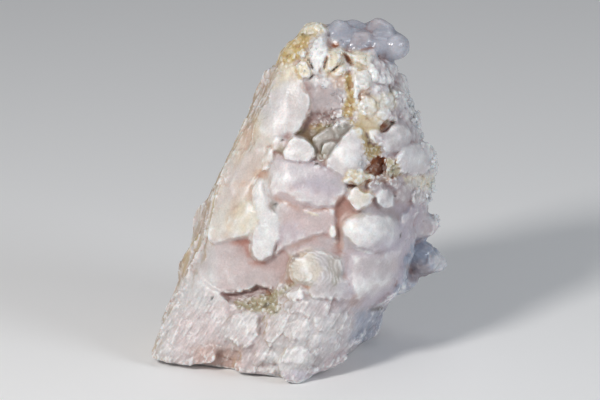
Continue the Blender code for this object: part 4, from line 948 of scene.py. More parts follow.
def triangleCount(mesh):
    return sum(len(face.vertices) - 2 for face in mesh.polygons)


def thinned(mesh, most, name):
    # fewer triangles, and no point outside the solid's box
    count = triangleCount(mesh)
    result = modified(mesh, name, "DECIMATE", ratio=min(1.0, most / count))
    result.validate()
    setPlaces(result, np.clip(placesOf(result), boxLow, boxHigh))
    print("triangles", count, "thinned to", triangleCount(result))
    return result


# Colours of the calcite, and of the painted shade and highlight laid on it, in linear light

stoneColours = {
    "pale": (0.75, 0.72, 0.715),
    "pink": (0.75, 0.65, 0.645),
    # painted shade: the deeper pink laid in creases, the fissure and shaded patches
    "shadePink": (0.68, 0.51, 0.45),
    # peach: the stone's own warm colour on some facets, and also painted shade along the upper plate's right
    # rim, in the long face's shading strips and in fold troughs
    "peach": (0.78, 0.61, 0.50),
    # painted shadow: the pink laid under the cream ledge and under and beside the tongue's tip
    "ledgeShadowPink": (0.66, 0.44, 0.38),
    # white: the stone's own white, and also painted highlights on fold crests, knob tops, the glass block,
    # the great lobe and the grey plates' rims
    "white": (0.86, 0.86, 0.86),
    "cream": (0.88, 0.82, 0.68),
    # lavender: the stone's own colour, and also painted cool shade towards the right side and under the nose
    "lavender": (0.66, 0.62, 0.69),
    # blueGrey: the knob's own colour, partly painted shade there, and painted shade on the lower right block
    "blueGrey": (0.52, 0.555, 0.64),
    "bulb": (0.565, 0.575, 0.63),
    # grey: also painted shade on the grey plates' faces, between the knobs and in the rosette's grooves
    "grey": (0.46, 0.44, 0.40),
    "ochre": (0.72, 0.59, 0.33),
    "paleOchre": (0.78, 0.67, 0.40),
    "brown": (0.48, 0.24, 0.12),
    # mauve: also the painted shade in the recess under the pink slab, in the hollow under the crown and under
    # the blue knob
    "mauve": (0.44, 0.33, 0.31),
    "lilac": (0.58, 0.52, 0.53),
    "olive": (0.36, 0.31, 0.18),
    "tan": (0.60, 0.49, 0.37),
    "yellow": (0.55, 0.51, 0.34),
    # painted shade: near black laid in pits, gaps and cracks
    "shadowDark": (0.08, 0.06, 0.03),
}

# painted highlight on thin edges, the share of red, green and blue taken off by painted shade in creases, and
# the contrast of it all
colourRange = {
    "edge": 0.96,
    "creaseShadeLoss": (0.13, 0.27, 0.30),
    "contrast": 1.55,
    "strength": 0.97,
}

# outlines: colour, how much of it, how soft its edge is in mm, and its corners
colouredAreas = [
    ("cream", 0.45, 6, [(-34, 52), (-20, 52), (-14, 66), (-9, 86), (-14, 96), (-22, 90), (-30, 68)]),
    ("white", 0.35, 6, [(-34, 52), (-28, 68), (-20, 88), (-16, 84), (-22, 70), (-26, 56)]),
    ("white", 0.5, 8, [(-45, 32), (-28, 48), (-28, 30), (-30, 10), (-52, 12)]),
    ("pink", 0.55, 5, [(-31, 50), (-20, 53), (-8, 53), (-3, 48), (-4, 41), (-9, 32), (-28, 31), (-30, 38)]),
    ("pink", 0.45, 6, [(-44, 26), (-32, 27), (-29, 14), (-33, 5), (-46, 8)]),
    ("lavender", 0.7, 6, [
        (17, 46), (27, 50), (36, 58), (43, 56), (42, 46), (37, 34), (30, 28), (22, 28), (16, 36)]),
    ("pink", 0.35, 5, [(17, 46), (27, 48), (36, 46), (34, 38), (26, 33), (17, 36)]),
    ("pale", 0.5, 5, [(18, 45), (27, 46), (35, 44), (34, 36), (27, 31), (19, 34)]),
    ("lavender", 0.45, 6, [(-9, 81), (8, 80), (14, 77), (14, 68), (4, 68), (-8, 70)]),
    ("pink", 0.7, 5, [
        (-12, 70), (-4, 71), (6, 70), (16, 66), (14, 60), (13, 52), (0, 47), (-8, 48), (-6, 62)]),
    ("lavender", 0.35, 2.5, [
        (-3, 70.8), (2, 72.4), (8, 72.6), (14.4, 69.3), (13, 64.4), (7.8, 63.4), (0, 65)]),
    ("white", 0.4, 3, [(-11, 80), (-2, 79), (4, 76), (0, 72), (-8, 72), (-11.5, 75)]),
    ("lavender", 0.4, 3, [(-8, 57), (-2, 58), (2, 54), (-4, 50), (-8, 49)]),
    # painted shadow beside the upper plate's right rim
    ("peach", 0.5, 0.9, [
        (0.4, 108), (4.4, 103), (4.8, 98), (3.4, 94), (0, 89), (-0.8, 90.5), (2.4, 96), (3.4, 99),
        (2.8, 102.5), (0, 107)]),
    ("pink", 0.4, 5, [(-26, 76), (-14, 88), (-10, 84), (-14, 76), (-18, 68), (-30, 64)]),
    ("white", 0.75, 2, [
        (-16, 73), (-13, 74), (-10, 66), (-7, 57), (-9, 48), (-13, 44), (-16, 45), (-18, 50), (-18, 60)]),
    ("cream", 0.5, 2, [
        (-18.4, 65.6), (-15.6, 62.6), (-14.8, 58), (-17, 54), (-21, 52.6), (-27, 54.6), (-26, 59),
        (-22.8, 63.4)]),
    ("white", 0.5, 4, [(-7, 110), (-1, 106), (2, 98), (-2, 91), (-12, 92), (-10, 104)]),
    ("pink", 0.25, 4, [(-9, 104), (0, 104), (0, 92), (-9, 90)]),
    ("cream", 0.75, 4, [(-8, 115), (-1, 115), (0, 109), (-9, 106)]),
    # painted shade of the darker band on the left facet
    ("shadePink", 0.35, 1.5, [(-20.5, 91.5), (-16, 95), (-17, 90), (-18.5, 85), (-20, 84)]),
    # painted shade of the darker band over the cream fold
    ("peach", 0.45, 1.5, [(-13.5, 77), (-11, 82), (-10, 86), (-9, 84), (-10, 80), (-12, 76)]),
    ("bulb", 1, 2.5, [
        (9, 132), (10, 124), (18, 119), (26, 119), (32, 114), (42, 118), (40, 128), (28, 134)]),
    ("lilac", 0.5, 3, [(17, 124), (24, 127), (26, 134), (32, 132), (28, 127), (20, 119)]),
    # the blue knob: its own blue-grey, partly painted shade
    ("blueGrey", 1, 2, [
        (38, 45), (42, 51), (48, 52), (56, 44), (50, 34), (40, 33), (32, 26), (34, 32), (37, 38)]),
    # painted shade under the blue knob
    ("mauve", 0.45, 2.5, [(38, 42), (44, 43), (49, 40), (48, 35), (40, 36)]),
    ("white", 0.6, 3, [(47, 46), (52, 47), (56, 42), (50, 38)]),
    # painted shade in blue-grey on the lower right block
    ("blueGrey", 0.8, 4, [(20, 26), (31, 26), (33, 18), (26, 13), (18, 15)]),
    ("ochre", 0.9, 2, [(-9, 115), (-2, 115), (2, 119), (3, 123), (8, 126), (3, 130), (-4, 124)]),
    ("paleOchre", 0.8, 2, [(-5, 116), (-1, 116), (1, 119), (-3, 121)]),
    ("cream", 0.9, 1.5, [(0, 126), (4, 131), (9, 129), (10, 126), (4, 125)]),
    ("olive", 0.45, 1.2, [(0, 125.4), (5, 125.6), (4, 124), (1, 124)]),
    ("cream", 0.85, 1.5, [(9, 124), (11, 120), (16, 119), (16, 109), (9, 109), (8, 113)]),
    ("white", 1, 0.9, [(3, 116), (4, 120), (8, 125), (10, 124), (10, 118), (8, 112), (6, 110), (4, 112)]),
    ("cream", 0.9, 1, [(-2, 114), (1, 116.4), (3, 118), (4, 111), (3, 109), (-1, 109)]),
    ("ochre", 0.5, 1.5, [(-2, 113), (0, 112), (1, 108.6), (-1.4, 108.6)]),
    ("lilac", 0.6, 2.5, [(2, 107), (11, 109), (15, 107), (17, 97), (4, 95)]),
    ("white", 0.6, 1.6, [(4, 109.6), (11, 110), (11, 105.4), (6, 105)]),
    ("peach", 0.6, 1.5, [(11, 110), (17, 110.6), (17, 105), (12, 105.4)]),
    ("ochre", 0.95, 1.6, [(16, 112), (18.6, 110), (20, 104), (20, 98), (17, 94), (15, 96), (16.4, 104)]),
    ("cream", 0.8, 2, [(17, 119), (26, 118), (25, 108), (20.6, 98), (19, 104), (18.6, 112)]),
    ("white", 0.8, 1.6, [(19.4, 113), (22, 112.6), (24.4, 109), (22, 105), (20, 100), (19.4, 105)]),
    ("peach", 0.8, 1.2, [(20.4, 104.8), (25, 104.8), (25.4, 101.6), (21, 101)]),
    ("olive", 0.85, 1.6, [
        (-2, 89.6), (2, 92), (10, 93), (13, 93), (10, 91), (5, 88.6), (5.6, 83), (4, 84.6), (1, 88)]),
    # painted shade in the hollow under the crown's overhang
    ("mauve", 0.75, 2, [(0, 91), (4, 97), (12, 98), (15.4, 95.4), (9, 93.4), (4, 91)]),
    ("ochre", 0.5, 1.2, [(3, 92), (8, 93), (9, 91.6), (5, 90.6)]),
    # painted shade on the grey plates' faces below their rims
    ("grey", 0.85, 1.2, [(5, 88), (12, 92), (19, 94), (20, 90), (14, 86), (11, 82), (8, 80), (5, 84)]),
    ("pale", 0.7, 3, [(10, 80), (19, 91), (24, 84), (24, 75), (12, 75)]),
    ("white", 0.6, 2, [(-6, 83), (-2.4, 88), (2, 87.6), (5.2, 83), (3, 79.6), (-4, 80.4)]),
    ("pale", 0.6, 2, [(-6, 83), (-2.4, 88), (2, 87.6), (5.2, 83), (3, 79.6), (-4, 80.4)]),
    ("lilac", 0.3, 4, [(30, 116), (36, 112), (44, 100), (50, 88), (52, 74), (42, 72), (38, 90), (32, 102)]),
    ("white", 0.7, 2.5, [
        (38, 112), (44, 104), (49, 92), (55, 78), (54, 62), (47.5, 62), (48, 74), (46, 84), (40, 96),
        (35, 104)]),
    ("lilac", 0.4, 3, [(26, 89), (32, 92), (38, 93), (41, 88), (38, 84), (30, 83)]),
    ("white", 0.4, 2, [(30, 91), (34, 92), (38, 91), (38, 87), (32, 87)]),
    ("paleOchre", 0.6, 2.5, [(20, 96), (29, 97.4), (33, 93), (27, 89), (22, 90)]),
    ("paleOchre", 0.5, 2.5, [(21, 101), (27, 102), (28, 97), (22, 96)]),
    ("ochre", 0.6, 1.5, [(30, 80.6), (34.6, 80), (36.4, 75.4), (33, 73), (31.6, 76)]),
    ("cream", 0.7, 2, [(20, 102), (28, 103), (35, 105), (34, 99), (27, 96), (21, 96)]),
    ("ochre", 0.85, 1.5, [
        (17.5, 95), (22, 92), (25, 86), (28.6, 85), (29, 81), (24, 80), (22, 86), (19, 92)]),
    ("white", 0.5, 2, [(35, 84), (44, 87), (49, 82), (48, 76), (36, 75)]),
    ("yellow", 0.5, 1.5, [(30, 80.6), (34, 79.6), (36, 75), (31, 72), (27, 72), (31, 76)]),
    ("brown", 1, 1, [
        (22.8, 75.2), (24.4, 78), (26, 80.4), (28.8, 81.8), (31, 80), (31, 77), (29.8, 75), (27, 74)]),
    ("cream", 0.95, 1, [(15, 72.6), (17.4, 76.4), (21.6, 76.6), (28, 73.8), (21, 70), (18, 71.6)]),
    # painted shade in the crease below the shard and the lobes
    ("shadePink", 0.5, 1.5, [(20, 70.6), (27, 74), (31, 75), (36, 71), (26, 71)]),
    ("cream", 0.85, 1.5, [(37, 74), (49, 75), (50, 70), (44, 69), (38, 70.4)]),
    ("cream", 0.5, 1.2, [(16.6, 66), (18, 70), (21, 71), (27, 68), (25, 63), (20, 62)]),
    ("paleOchre", 0.5, 1.2, [(20.4, 70.4), (22.4, 68.4), (25, 69), (24.6, 66.4), (22, 66.6)]),
    ("lilac", 0.7, 3, [(26, 72), (40, 72), (46, 66), (44, 57), (34, 58), (28, 62)]),
    ("white", 0.4, 1.6, [(27, 67), (29, 70), (33, 69), (33, 64), (29, 62.6)]),
    ("white", 0.4, 1.6, [(40, 66), (41, 69), (45, 69), (45.4, 65), (42, 64)]),
    ("lavender", 0.6, 3, [(34, 64), (45, 64), (44, 57), (36, 56)]),
    # painted shade in the fissure and the triangle beside it
    ("shadePink", 0.75, 1.2, [
        (12.6, 67), (16.4, 67.4), (22, 61.6), (17, 59), (15.6, 56), (15.2, 47), (12.8, 48)]),
    ("white", 0.45, 4, [(20, 58), (33, 59), (34, 52), (22, 51)]),
    ("cream", 0.5, 1.6, [(15, 57), (19, 60.6), (25, 61), (20, 58), (18.6, 50), (16, 53)]),
    # painted shade in the recess under the pink slab
    ("mauve", 0.75, 1.5, [
        (-27, 32.6), (-20, 33), (-15.6, 35.2), (-10, 34), (-9.4, 30.6), (-15, 30.6), (-26, 30)]),
    ("yellow", 0.75, 1.6, [
        (-24, 28.8), (-14, 31.4), (-9, 33), (-9, 30), (-7, 27), (-9, 24.6), (-18, 26), (-22, 26.6)]),
    ("yellow", 0.7, 1.4, [(-11, 32), (-7, 34), (-2, 36.6), (-1.6, 35.4), (-5, 33), (-8.6, 30.6)]),
    # painted shade in the crease beside the rosette
    ("shadePink", 0.6, 1.5, [(-7.6, 36), (-6, 38.8), (-3, 37.4), (-2, 36)]),
    # painted shade on the shaded patch of the lower left and on the brown flat
    ("shadePink", 0.55, 4, [(-40, 12), (-31, 15), (-21, 12), (-22, 4), (-36, 4)]),
    ("shadePink", 0.3, 2, [(-31, 11.6), (-23, 11.6), (-21, 9), (-22, 4), (-32, 4)]),
    ("white", 0.45, 3, [(-27, 20), (-23, 26), (-15, 24.6), (-16, 15), (-24, 13.4), (-28, 15.6)]),
    ("white", 0.6, 4, [(-14, 11), (2, 14), (6, 8), (0, 3), (-14, 5)]),
    # painted shade in lavender on the nose's underside
    ("lavender", 0.5, 1.5, [(-7, 4.4), (4, 4.4), (8, 4), (0, -2), (-6, 0)]),
    ("white", 0.45, 5, [(-10, 25), (2, 25), (16, 26), (20, 20), (6, 14), (-4, 16)]),
    ("olive", 0.3, 2.5, [(9, 46.6), (14.6, 45), (16, 38), (12, 36), (10, 42)]),
    ("cream", 0.45, 2.5, [(-4, 46), (4, 48), (8, 40), (4, 35), (-3, 36)]),
    ("white", 0.5, 2, [(11, 39), (18, 38.6), (17, 35), (12, 36)]),
    ("white", 0.6, 1.2, [(-5.4, 32), (-3, 34.6), (0, 35), (1.6, 33), (-1, 30), (-4, 30.2)]),
]

# spots: colour, how much, across, up, half width, half height, turn
# the dark spots are painted shade in pits, gaps and cracks, and the one at 28, 26.2 is painted shadow under
# the great lobe
colouredSpots = [
    ("brown", 0.5, -4.4, 117.2, 1.6, 0.5, 40), ("cream", 0.8, -3.4, 118.8, 1.4, 1, 30),
    ("cream", 0.7, -0.6, 122.4, 1.8, 0.8, 30), ("brown", 0.5, -1, 120.6, 1.8, 0.4, 10),
    ("shadowDark", 0.5, 1.6, 125.1, 1.6, 0.3, 0), ("brown", 0.4, -6.2, 115.2, 1.2, 0.4, 10),
    ("shadowDark", 0.5, 4.2, 124.6, 1.2, 0.3, -10), ("brown", 0.6, 7, 112, 0.5, 1.6, 10),
    ("brown", 0.5, 11, 116.6, 0.3, 2.4, 10), ("brown", 0.5, 13, 114, 0.3, 1.4, -40),
    ("brown", 0.5, 24, 119.8, 3.4, 0.5, 12), ("ochre", 0.6, 21.4, 92.6, 1.6, 1, -30),
    ("brown", 0.6, 24, 94.8, 0.7, 0.5, 0), ("brown", 0.5, 27.4, 97.4, 1.4, 0.8, 20),
    # the white spot at 43, 81 is a painted highlight on the glass block
    ("white", 0.8, 43, 81, 3.4, 2.4, 40), ("brown", 0.5, 34.4, 95.8, 0.5, 0.4, 0),
    ("shadowDark", 0.6, 33.2, 76.6, 0.6, 0.5, 20), ("brown", 0.6, 33, 73.6, 2.4, 0.5, 30),
    ("white", 0.9, 15, 112.2, 1.2, 1.2, 0), ("shadowDark", 0.5, 34, 67, 0.5, 0.4, 0),
    # the peach spots here and on the next line are painted shade in the long face's shading strips
    ("shadowDark", 0.4, 4.4, 87.4, 0.8, 0.8, 0), ("peach", 0.7, -14, 75, 3, 2, 0),
    ("peach", 0.5, -18.5, 69, 1.8, 3.4, 0), ("peach", 0.4, -23, 71, 6, 1, 0),
    # painted shadow in pink under the cream ledge and under and beside the tongue's tip
    ("ledgeShadowPink", 0.8, -21, 50.5, 4.5, 1.2, 4), ("ledgeShadowPink", 0.7, -15.5, 43.2, 3.6, 1.2, 0),
    ("ledgeShadowPink", 0.6, -18.5, 47, 1, 4, 10), ("shadowDark", 0.8, -8.7, 64.5, 0.6, 0.6, 0),
    ("shadowDark", 0.9, 36, 52.7, 0.5, 0.5, 0), ("shadowDark", 0.9, 6.1, 78.6, 0.6, 0.6, 0),
    ("shadowDark", 0.7, 6.6, 80.4, 0.7, 0.5, 0), ("shadowDark", 0.9, -31.5, 30.5, 0.3, 1, -30),
    ("shadowDark", 0.9, -6.8, 87, 1, 0.5, 20), ("brown", 1, 12.7, 121, 1.6, 1.2, 0),
    ("brown", 0.9, 17, 116.4, 2.6, 0.9, -48), ("ochre", 0.8, 21.5, 113, 2.2, 2, 0),
    ("shadowDark", 0.9, 4, 109.6, 1.5, 0.35, 40), ("shadowDark", 0.9, 12.2, 112.4, 2, 0.35, 38),
    ("shadowDark", 0.8, 4, 113.8, 0.4, 2.2, 28), ("shadowDark", 0.6, 3, 115.7, 0.5, 0.4, 0),
    ("peach", 0.7, 2.6, 34.6, 1.5, 0.6, -20), ("brown", 0.5, -11.5, 32.4, 1.6, 0.9, -30),
    ("shadowDark", 0.6, -12, 28, 1.6, 1, 30), ("shadowDark", 0.5, -8.5, 25.6, 0.8, 0.5, 0),
    ("brown", 0.8, 30.2, 92.5, 1.8, 1.3, 30), ("brown", 0.8, 18.3, 71.2, 1.4, 0.8, 20),
    ("shadowDark", 0.5, 28, 26.2, 3.2, 0.9, 4), ("mauve", 0.6, -2, 45, 3, 1, 40),
    # the white streaks here, on the next line and at 16.6, 89 are painted highlights along the grey plates'
    # rims
    ("white", 0.8, 8, 89.6, 4, 0.45, 37), ("white", 0.8, 14.6, 93.2, 4, 0.45, 27),
    ("white", 0.7, 10, 85.9, 2.4, 0.4, 27), ("white", 0.8, 12.2, 83.6, 3.8, 0.5, 56),
    ("white", 0.8, 16.6, 89, 4, 0.5, 48), ("cream", 0.7, 20, 91.3, 1.6, 0.5, 0),
    # the deep pink spots here and on the next line are painted shade in the creases between the centre mass
    # and the under mass, and below the under mass
    ("shadePink", 0.7, -4.4, 64.4, 7.5, 0.9, -22), ("shadePink", 0.6, 7.6, 62.2, 5.5, 0.7, 6),
    ("white", 0.5, 29.6, 56.6, 6, 3.2, 0), ("shadePink", 0.5, 1, 50.6, 8, 1, 22),
    ("grey", 0.6, -9.8, 63.4, 1.2, 2.4, 20), ("white", 0.7, -7.6, 62, 0.5, 2.6, 30),
    # the white spots at 27.6, 43.5 and 31, 46 are painted glints on the great lobe
    ("white", 0.7, 27.6, 43.5, 1.2, 0.8, 0), ("white", 0.6, 31, 46, 0.8, 0.6, 0),
    ("cream", 0.9, 4.2, 60.8, 2.8, 0.5, -14), ("white", 0.9, 23.6, 47.2, 3.8, 0.6, -14),
    ("cream", 0.9, 11.6, 54.6, 1.1, 2.2, -8), ("olive", 0.5, -7, 83.5, 2, 2, 0),
    ("olive", 0.4, 7.5, 81.5, 3, 3, 0), ("shadowDark", 0.5, 8, 85, 0.6, 0.8, 0),
    # the deep pink spot at 20, 30 is painted shade under the great lobe
    ("brown", 0.5, -3.5, 36.5, 1.6, 1.6, 0), ("shadePink", 0.4, 20, 30, 4, 2.4, 40),
    ("olive", 0.35, 12.5, 37, 2, 1.2, 60),
]


def bendOf(mesh, place, normal, steps):
    # how far each point stands above the middle of its surroundings, in mm
    return ((place - relaxed(mesh, place, steps, 0.6)) * normal).sum(axis=1)


def clouded(place, size, seed, low, high):
    # soft patches of that size, 0 where the noise is under low and 1 where it is over high
    return ramp(low, high, softNoise(place, size, seed, 2))


def colourOf(place, normal, bend, wideBend):
    seen = seenFrom(place)
    # the front colours reach a little round the sides and fade towards the back
    front = frontness(normal, -0.45, 0.05)
    ragged = softNoise(place, 3.2, 200, 2) * 0.9
    fine = facets(place, 1.1, 210, 0.0, 0.7)
    base = {name: np.array(value) for name, value in stoneColours.items()}
    colour = np.tile(base["pale"], (len(place), 1))

    def mix(name, weight):
        nonlocal colour
        colour = colour + (base[name] - colour) * weight[:, None]

    mix("pink", clouded(place, 14, 220, -0.1, 0.7) * 0.5)
    mix("white", clouded(place, 7, 230, 0.1, 1.0) * 0.3)
    # painted cool shade: the colour turns lavender towards the right side
    mix("lavender", ramp(-6, 34, seen[:, 0] - (seen[:, 1] - 60) * 0.2) * 0.35)
    wall = leftWallness(place, normal)
    mix("tan", wall * 0.8)
    mix("paleOchre", wall * clouded(place, 9, 240, 0.0, 0.8) * 0.5)
    for name, amount, soft, outline in colouredAreas:
        mix(name, inside(seen, outline, soft, ragged * min(1.0, soft / 3) + fine * 0.8) * front * amount)
    for name, amount, across, up, wide, tall, turn in colouredSpots:
        uneven = fine * 0.3 * min(wide, tall)
        mix(name, spot(seen, across, up, wide, tall, turn, 0.5, uneven) * front * amount)

    # the folds with painted highlight on their crests and painted shade in their troughs, the fine mottling,
    # the knobs of the right side with painted highlight on their tops and painted shade between them, and the
    # rosette's grooves in painted shade
    folds = foldsAt(place, seen)[1] * front
    mix("white", ramp(0.1, 0.9, folds) * 0.5)
    mix("peach", ramp(0.1, 0.9, -folds) * 0.35)
    bulbs = inside(seen, zones["bulbs"], 3.0)
    mix("white", clouded(place, 2.6, 250, 0.5, 1.0) * 0.12 * (1 - bulbs))
    mix("pink", clouded(place, 4.4, 260, 0.3, 1.1) * 0.15 * (1 - bulbs))
    knobbly = inside(seen, zones["knobbly"], 5.0) * (1 - bulbs) * front
    knobbly = knobbly * (1 - inside(seen, zones["smoothKnobs"], 3.0))
    knobs = lumps(place, 5.6, 70) * 0.6 + lumps(place, 2.4, 80) * 0.4
    # painted highlight on the knob tops and painted shade in the creases between them
    mix("white", ramp(0.72, 0.92, knobs) * 0.6 * knobbly)
    mix("grey", ramp(0.66, 0.45, knobs) * 0.7 * knobbly)
    rings, shown = ringsAt(place, seen)
    # painted shade in the rosette's ring grooves
    mix("grey", ramp(0.5, 0.0, rings) * shown * 0.25 * inside(seen, zones["rosette"], 2.0) * front)

    # painted highlight: thin edges are whiter; painted shade: creases are darker and deeper in colour
    calm = np.clip(bulbs + inside(seen, zones["knob"], 3.0), 0, 1)
    edge = (ramp(0.05, 0.3, bend) * 0.65 + ramp(0.2, 1.0, wideBend) * 0.3) * (1 - calm * 0.8)
    creaseShade = ramp(0.07, 0.45, -bend) * 0.5 + ramp(0.12, 1.0, -wideBend) * 0.8
    creaseShade = creaseShade * (1 - 0.5 * inside(seen, zones["lowerThird"], 6.0))
    colour = colour + (colourRange["edge"] - colour) * np.clip(edge, 0.0, 1.0)[:, None]
    colour = colour * (1.0 - np.clip(creaseShade, 0.0, 1.0)[:, None] * np.array(colourRange["creaseShadeLoss"]))
    return np.clip(colour, 0.0, 1.0) ** colourRange["contrast"] * colourRange["strength"]


# Finish

calciteFinish = {
    "mottle": 260.0,  # lumps of the faint mottling to the metre
    "grain": 1500.0,
    "sugar": 1100.0,
    "mottleShades": (0.90, 1.06),  # how dark and how light it makes the colour
    "grainShades": (0.92, 1.06),
    "strokeShades": (0.86, 1.10),
    "strokeLength": 260.0,  # strokes to the metre along and across them
    "strokeWidth": 1250.0,
    "strokeHeight": 2.5,  # against the grain's 1
    "bump": 0.42,
    "bumpHeight": 0.15 * mm,
    "roughness": (0.25, 0.55),  # least and most
    "glossyParts": -0.22,  # how much smoother the bulbs and knobs are
    "translucence": 0.5,
    "reachOfLight": (1.0, 0.62, 0.5),  # how far red, green and blue go in, against the depth
    "depth": 4.5 * mm,
    "ior": 1.56,
}


def calciteMaterial(name, settings, brighten):
    material = bpy.data.materials.new(name)
    material.use_nodes = True
    node = nodeMaker(material.node_tree)

    def noise(place, scale, detail):
        return node("ShaderNodeTexNoise", {"Vector": place, "Scale": scale, "Detail": detail}).outputs["Fac"]

    def spread(value, low, high, ends):
        # the value from low to high, spread between the two ends
        reach = {"From Min": low, "From Max": high, "To Min": ends[0], "To Max": ends[1]}
        return node("ShaderNodeMapRange", {"Value": value, **reach}).outputs[0]

    def maths(operation, *values):
        return node("ShaderNodeMath", dict(enumerate(values)), operation=operation).outputs[0]

    where = node("ShaderNodeTexCoord").outputs["Object"]
    tint = node("ShaderNodeAttribute", attribute_name="stoneColour").outputs["Color"]
    glossy = node("ShaderNodeAttribute", attribute_name="gloss").outputs["Fac"]
    strokes = node("ShaderNodeAttribute", attribute_name="strokes").outputs["Fac"]
    mottle = noise(where, settings["mottle"], 4.0)
    grain = noise(where, settings["grain"], 3.0)
    # strokes: noise drawn out along one way
    turned = {}
    for axis, way, many in (("X", alongStroke, "strokeLength"), ("Y", acrossStroke, "strokeWidth"),
                            ("Z", eyeWay, "strokeLength")):
        reach = {0: where, 1: tuple(way * settings[many])}
        turned[axis] = node("ShaderNodeVectorMath", reach, operation="DOT_PRODUCT").outputs["Value"]
    strokeNoise = noise(node("ShaderNodeCombineXYZ", turned).outputs[0], 1.0, 2.0)
    strokeShade = spread(strokeNoise, 0.32, 0.68, settings["strokeShades"])
    strokePart = node("ShaderNodeMix", data_type="FLOAT",
                      inputs={"A": 1.0, "Factor": strokes, "B": strokeShade}).outputs[0]
    mottleShade = spread(mottle, 0.3, 0.7, [shade * brighten for shade in settings["mottleShades"]])
    grainShade = spread(grain, 0.3, 0.7, settings["grainShades"])
    both = maths("MULTIPLY", maths("MULTIPLY", mottleShade, grainShade), strokePart)
    shade = node("ShaderNodeVectorMath", {0: tint, "Scale": both}, operation="SCALE")
    # bumps: sugary cells and grain, with the strokes over them
    sugar = node("ShaderNodeTexVoronoi", {"Vector": where, "Scale": settings["sugar"]}, feature="F1")
    sugary = maths("ADD", sugar.outputs["Distance"], grain)
    height = maths("MULTIPLY_ADD", maths("MULTIPLY", strokeNoise, strokes), settings["strokeHeight"], sugary)
    bump = node("ShaderNodeBump", {
        "Strength": settings["bump"], "Distance": settings["bumpHeight"], "Height": height})
    roughness = spread(mottle, 0.0, 1.0, settings["roughness"])
    shader = material.node_tree.nodes["Principled BSDF"].inputs
    smoothed = maths("MULTIPLY_ADD", glossy, settings["glossyParts"], roughness)
    link = material.node_tree.links.new
    link(shade.outputs[0], shader["Base Color"])
    link(smoothed, shader["Roughness"])
    link(bump.outputs["Normal"], shader["Normal"])
    shader["IOR"].default_value = settings["ior"]
    shader["Subsurface Weight"].default_value = settings["translucence"]
    shader["Subsurface Radius"].default_value = settings["reachOfLight"]
    shader["Subsurface Scale"].default_value = settings["depth"]
    return material


def plainMaterial(name, colour, roughness):
    material = bpy.data.materials.new(name)
    material.use_nodes = True
    shader = material.node_tree.nodes["Principled BSDF"]
    shader.inputs["Base Color"].default_value = (*colour, 1.0)
    shader.inputs["Roughness"].default_value = roughness
    return material


# Making

calcite = calciteMaterial("pinkCalcite", calciteFinish, 1.0)
crustCalcite = calciteMaterial("crustCalcite", calciteFinish, 1.04)
print("growing the stone")
stoneMesh = thinned(detailed(roughStone()), stoneShape["triangles"], "pinkCalciteStone")
place = placesOf(stoneMesh)
normal = normalsOf(stoneMesh)
print("colouring the stone")
bend = bendOf(stoneMesh, place, normal, stoneShape["bendSteps"])
wideBend = bendOf(stoneMesh, place, normal, stoneShape["wideBendSteps"])
keepColour(stoneMesh, "stoneColour", colourOf(place, normal, bend, wideBend))
stoneMesh.materials.clear()
stoneMesh.materials.append(calcite)
stoneMesh.polygons.foreach_set("use_smooth", [True] * len(stoneMesh.polygons))

crownCrust = {
    "Per Square Metre": 220000.0,
    "Seed": 21,
    "Smallest": 0.3 * mm,
    "Largest": 0.9 * mm,
    "Proportions": (1.0, 0.9, 0.8),
    "Shear": 0.3,
    "Wobble": 1.5,
    "Direction": (0.2, 0.0, 1.0),
    "Sink": -0.1 * mm,
}

edgeCrust = {
    "Per Square Metre": 200000.0,
    "Seed": 34,
    "Smallest": 0.7 * mm,
    "Largest": 2.0 * mm,
    "Proportions": (1.0, 0.9, 0.8),
    "Shear": 0.3,
    "Wobble": 1.2,
    "Direction": (0.2, 0.0, 1.0),
    "Sink": -0.3 * mm,
}

print("growing the crusts")
seen = seenFrom(place)
front = frontness(normal, -0.3, 0.1)
crownMask = np.maximum(inside(seen, zones["crown"], 4.0), inside(seen, zones["seam"], 3.0))
rimMask = np.maximum(inside(seen, zones["cavityRims"], 3.0), inside(seen, zones["creamBand"], 2.0))
rimMask = rimMask * (1 - inside(seen, zones["cavity"], 1.5))
rimMask = np.maximum(rimMask, inside(seen, zones["sugaryRecess"], 3.0) * 0.6)
creamMask = np.maximum(crownMask, rimMask) * front * clouded(place, 4.0, 300, -0.1, 0.5)
edgeMask = inside(seen, zones["rightRim"], 3.0) * clouded(place, 4.0, 300, -0.5, 0.3) * front
pieces = []
for name, mask, values in (("crownCrust", creamMask, crownCrust), ("edgeCrust", edgeMask, edgeCrust)):
    mesh = grown(stoneMesh, mask, values, name, crustCalcite)
    print(name, "faces", len(mesh.polygons))
    pieces.append(newThing(name, mesh))
stoneMesh.attributes.remove(stoneMesh.attributes["grow"])
pieces.append(newThing("calciteStone", stoneMesh))

for piece in pieces:
    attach(piece, "root")
    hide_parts("calcite_specimen")

# Floor, light and camera

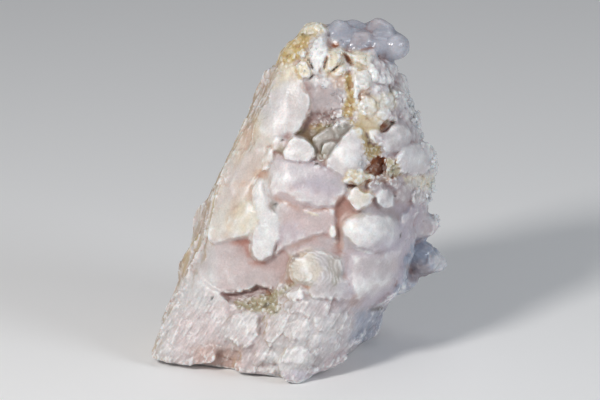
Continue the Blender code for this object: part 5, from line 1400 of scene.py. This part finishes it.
print("setting the floor, light and camera")
studio = {
    "floorSize": 4.0,
    "floorDrop": 0.0002,  # keeps the floor clear of the foot
    "floorColour": (0.90, 0.90, 0.90),
    "skyColour": (0.92, 0.95, 1.0),
    "skyStrength": 0.2,
    "lightAim": (0.0, 0.0, 0.06),
}

# place in metres, width in metres, watts and colour
lights = {
    "keyLight": ((-0.46, -0.56, 0.58), 0.18, 5.0, (1.0, 0.975, 0.95)),
    "fillLight": ((0.72, -0.42, 0.45), 0.4, 2.5, (0.90, 0.95, 1.0)),
    "topLight": ((0.1, 0.35, 0.9), 0.5, 0.9, (0.93, 0.96, 1.0)),
}

floorMesh = bmesh.new()
bmesh.ops.create_grid(floorMesh, x_segments=1, y_segments=1, size=studio["floorSize"] / 2)
floorData = bpy.data.meshes.new("paleFloor")
floorMesh.to_mesh(floorData)
floorMesh.free()
floor = newThing("paleFloor", floorData)
floor.location.z = -studio["floorDrop"]
floorData.materials.append(plainMaterial("paleFloor", studio["floorColour"], 0.8))

world = bpy.data.worlds.new("paleStudio")
bpy.context.scene.world = world
world.use_nodes = True
sky = world.node_tree.nodes["Background"].inputs
sky["Color"].default_value = (*studio["skyColour"], 1.0)
sky["Strength"].default_value = studio["skyStrength"]


def faceAlong(thing, way):
    # turns a lamp or camera so that it looks that way
    thing.rotation_euler = way.to_track_quat("-Z", "Y").to_euler()


for name, (lampPlace, size, watts, colour) in lights.items():
    data = bpy.data.lights.new(name, "AREA")
    data.shape = "DISK"
    data.size = size
    data.energy = watts
    data.color = colour
    lamp = newThing(name, data)
    lamp.location = lampPlace
    faceAlong(lamp, Vector(studio["lightAim"]) - Vector(lampPlace))

aim = (Vector(nose) + Vector(upWay) * frontView["middleUp"] - Vector(eyeWay) * frontView["middleDepth"]) * mm
cameraData = bpy.data.cameras.new("camera")
cameraData.lens = frontView["lens"]
cameraData.sensor_width = 36.0
cameraData.clip_end = 20.0
camera = newThing("camera", cameraData)
distance = frontView["pictureWidth"] * mm * cameraData.lens / cameraData.sensor_width
camera.location = aim + Vector(eyeWay) * distance
faceAlong(camera, -Vector(eyeWay))
bpy.context.scene.camera = camera
bpy.context.scene.view_settings.view_transform = "Standard"
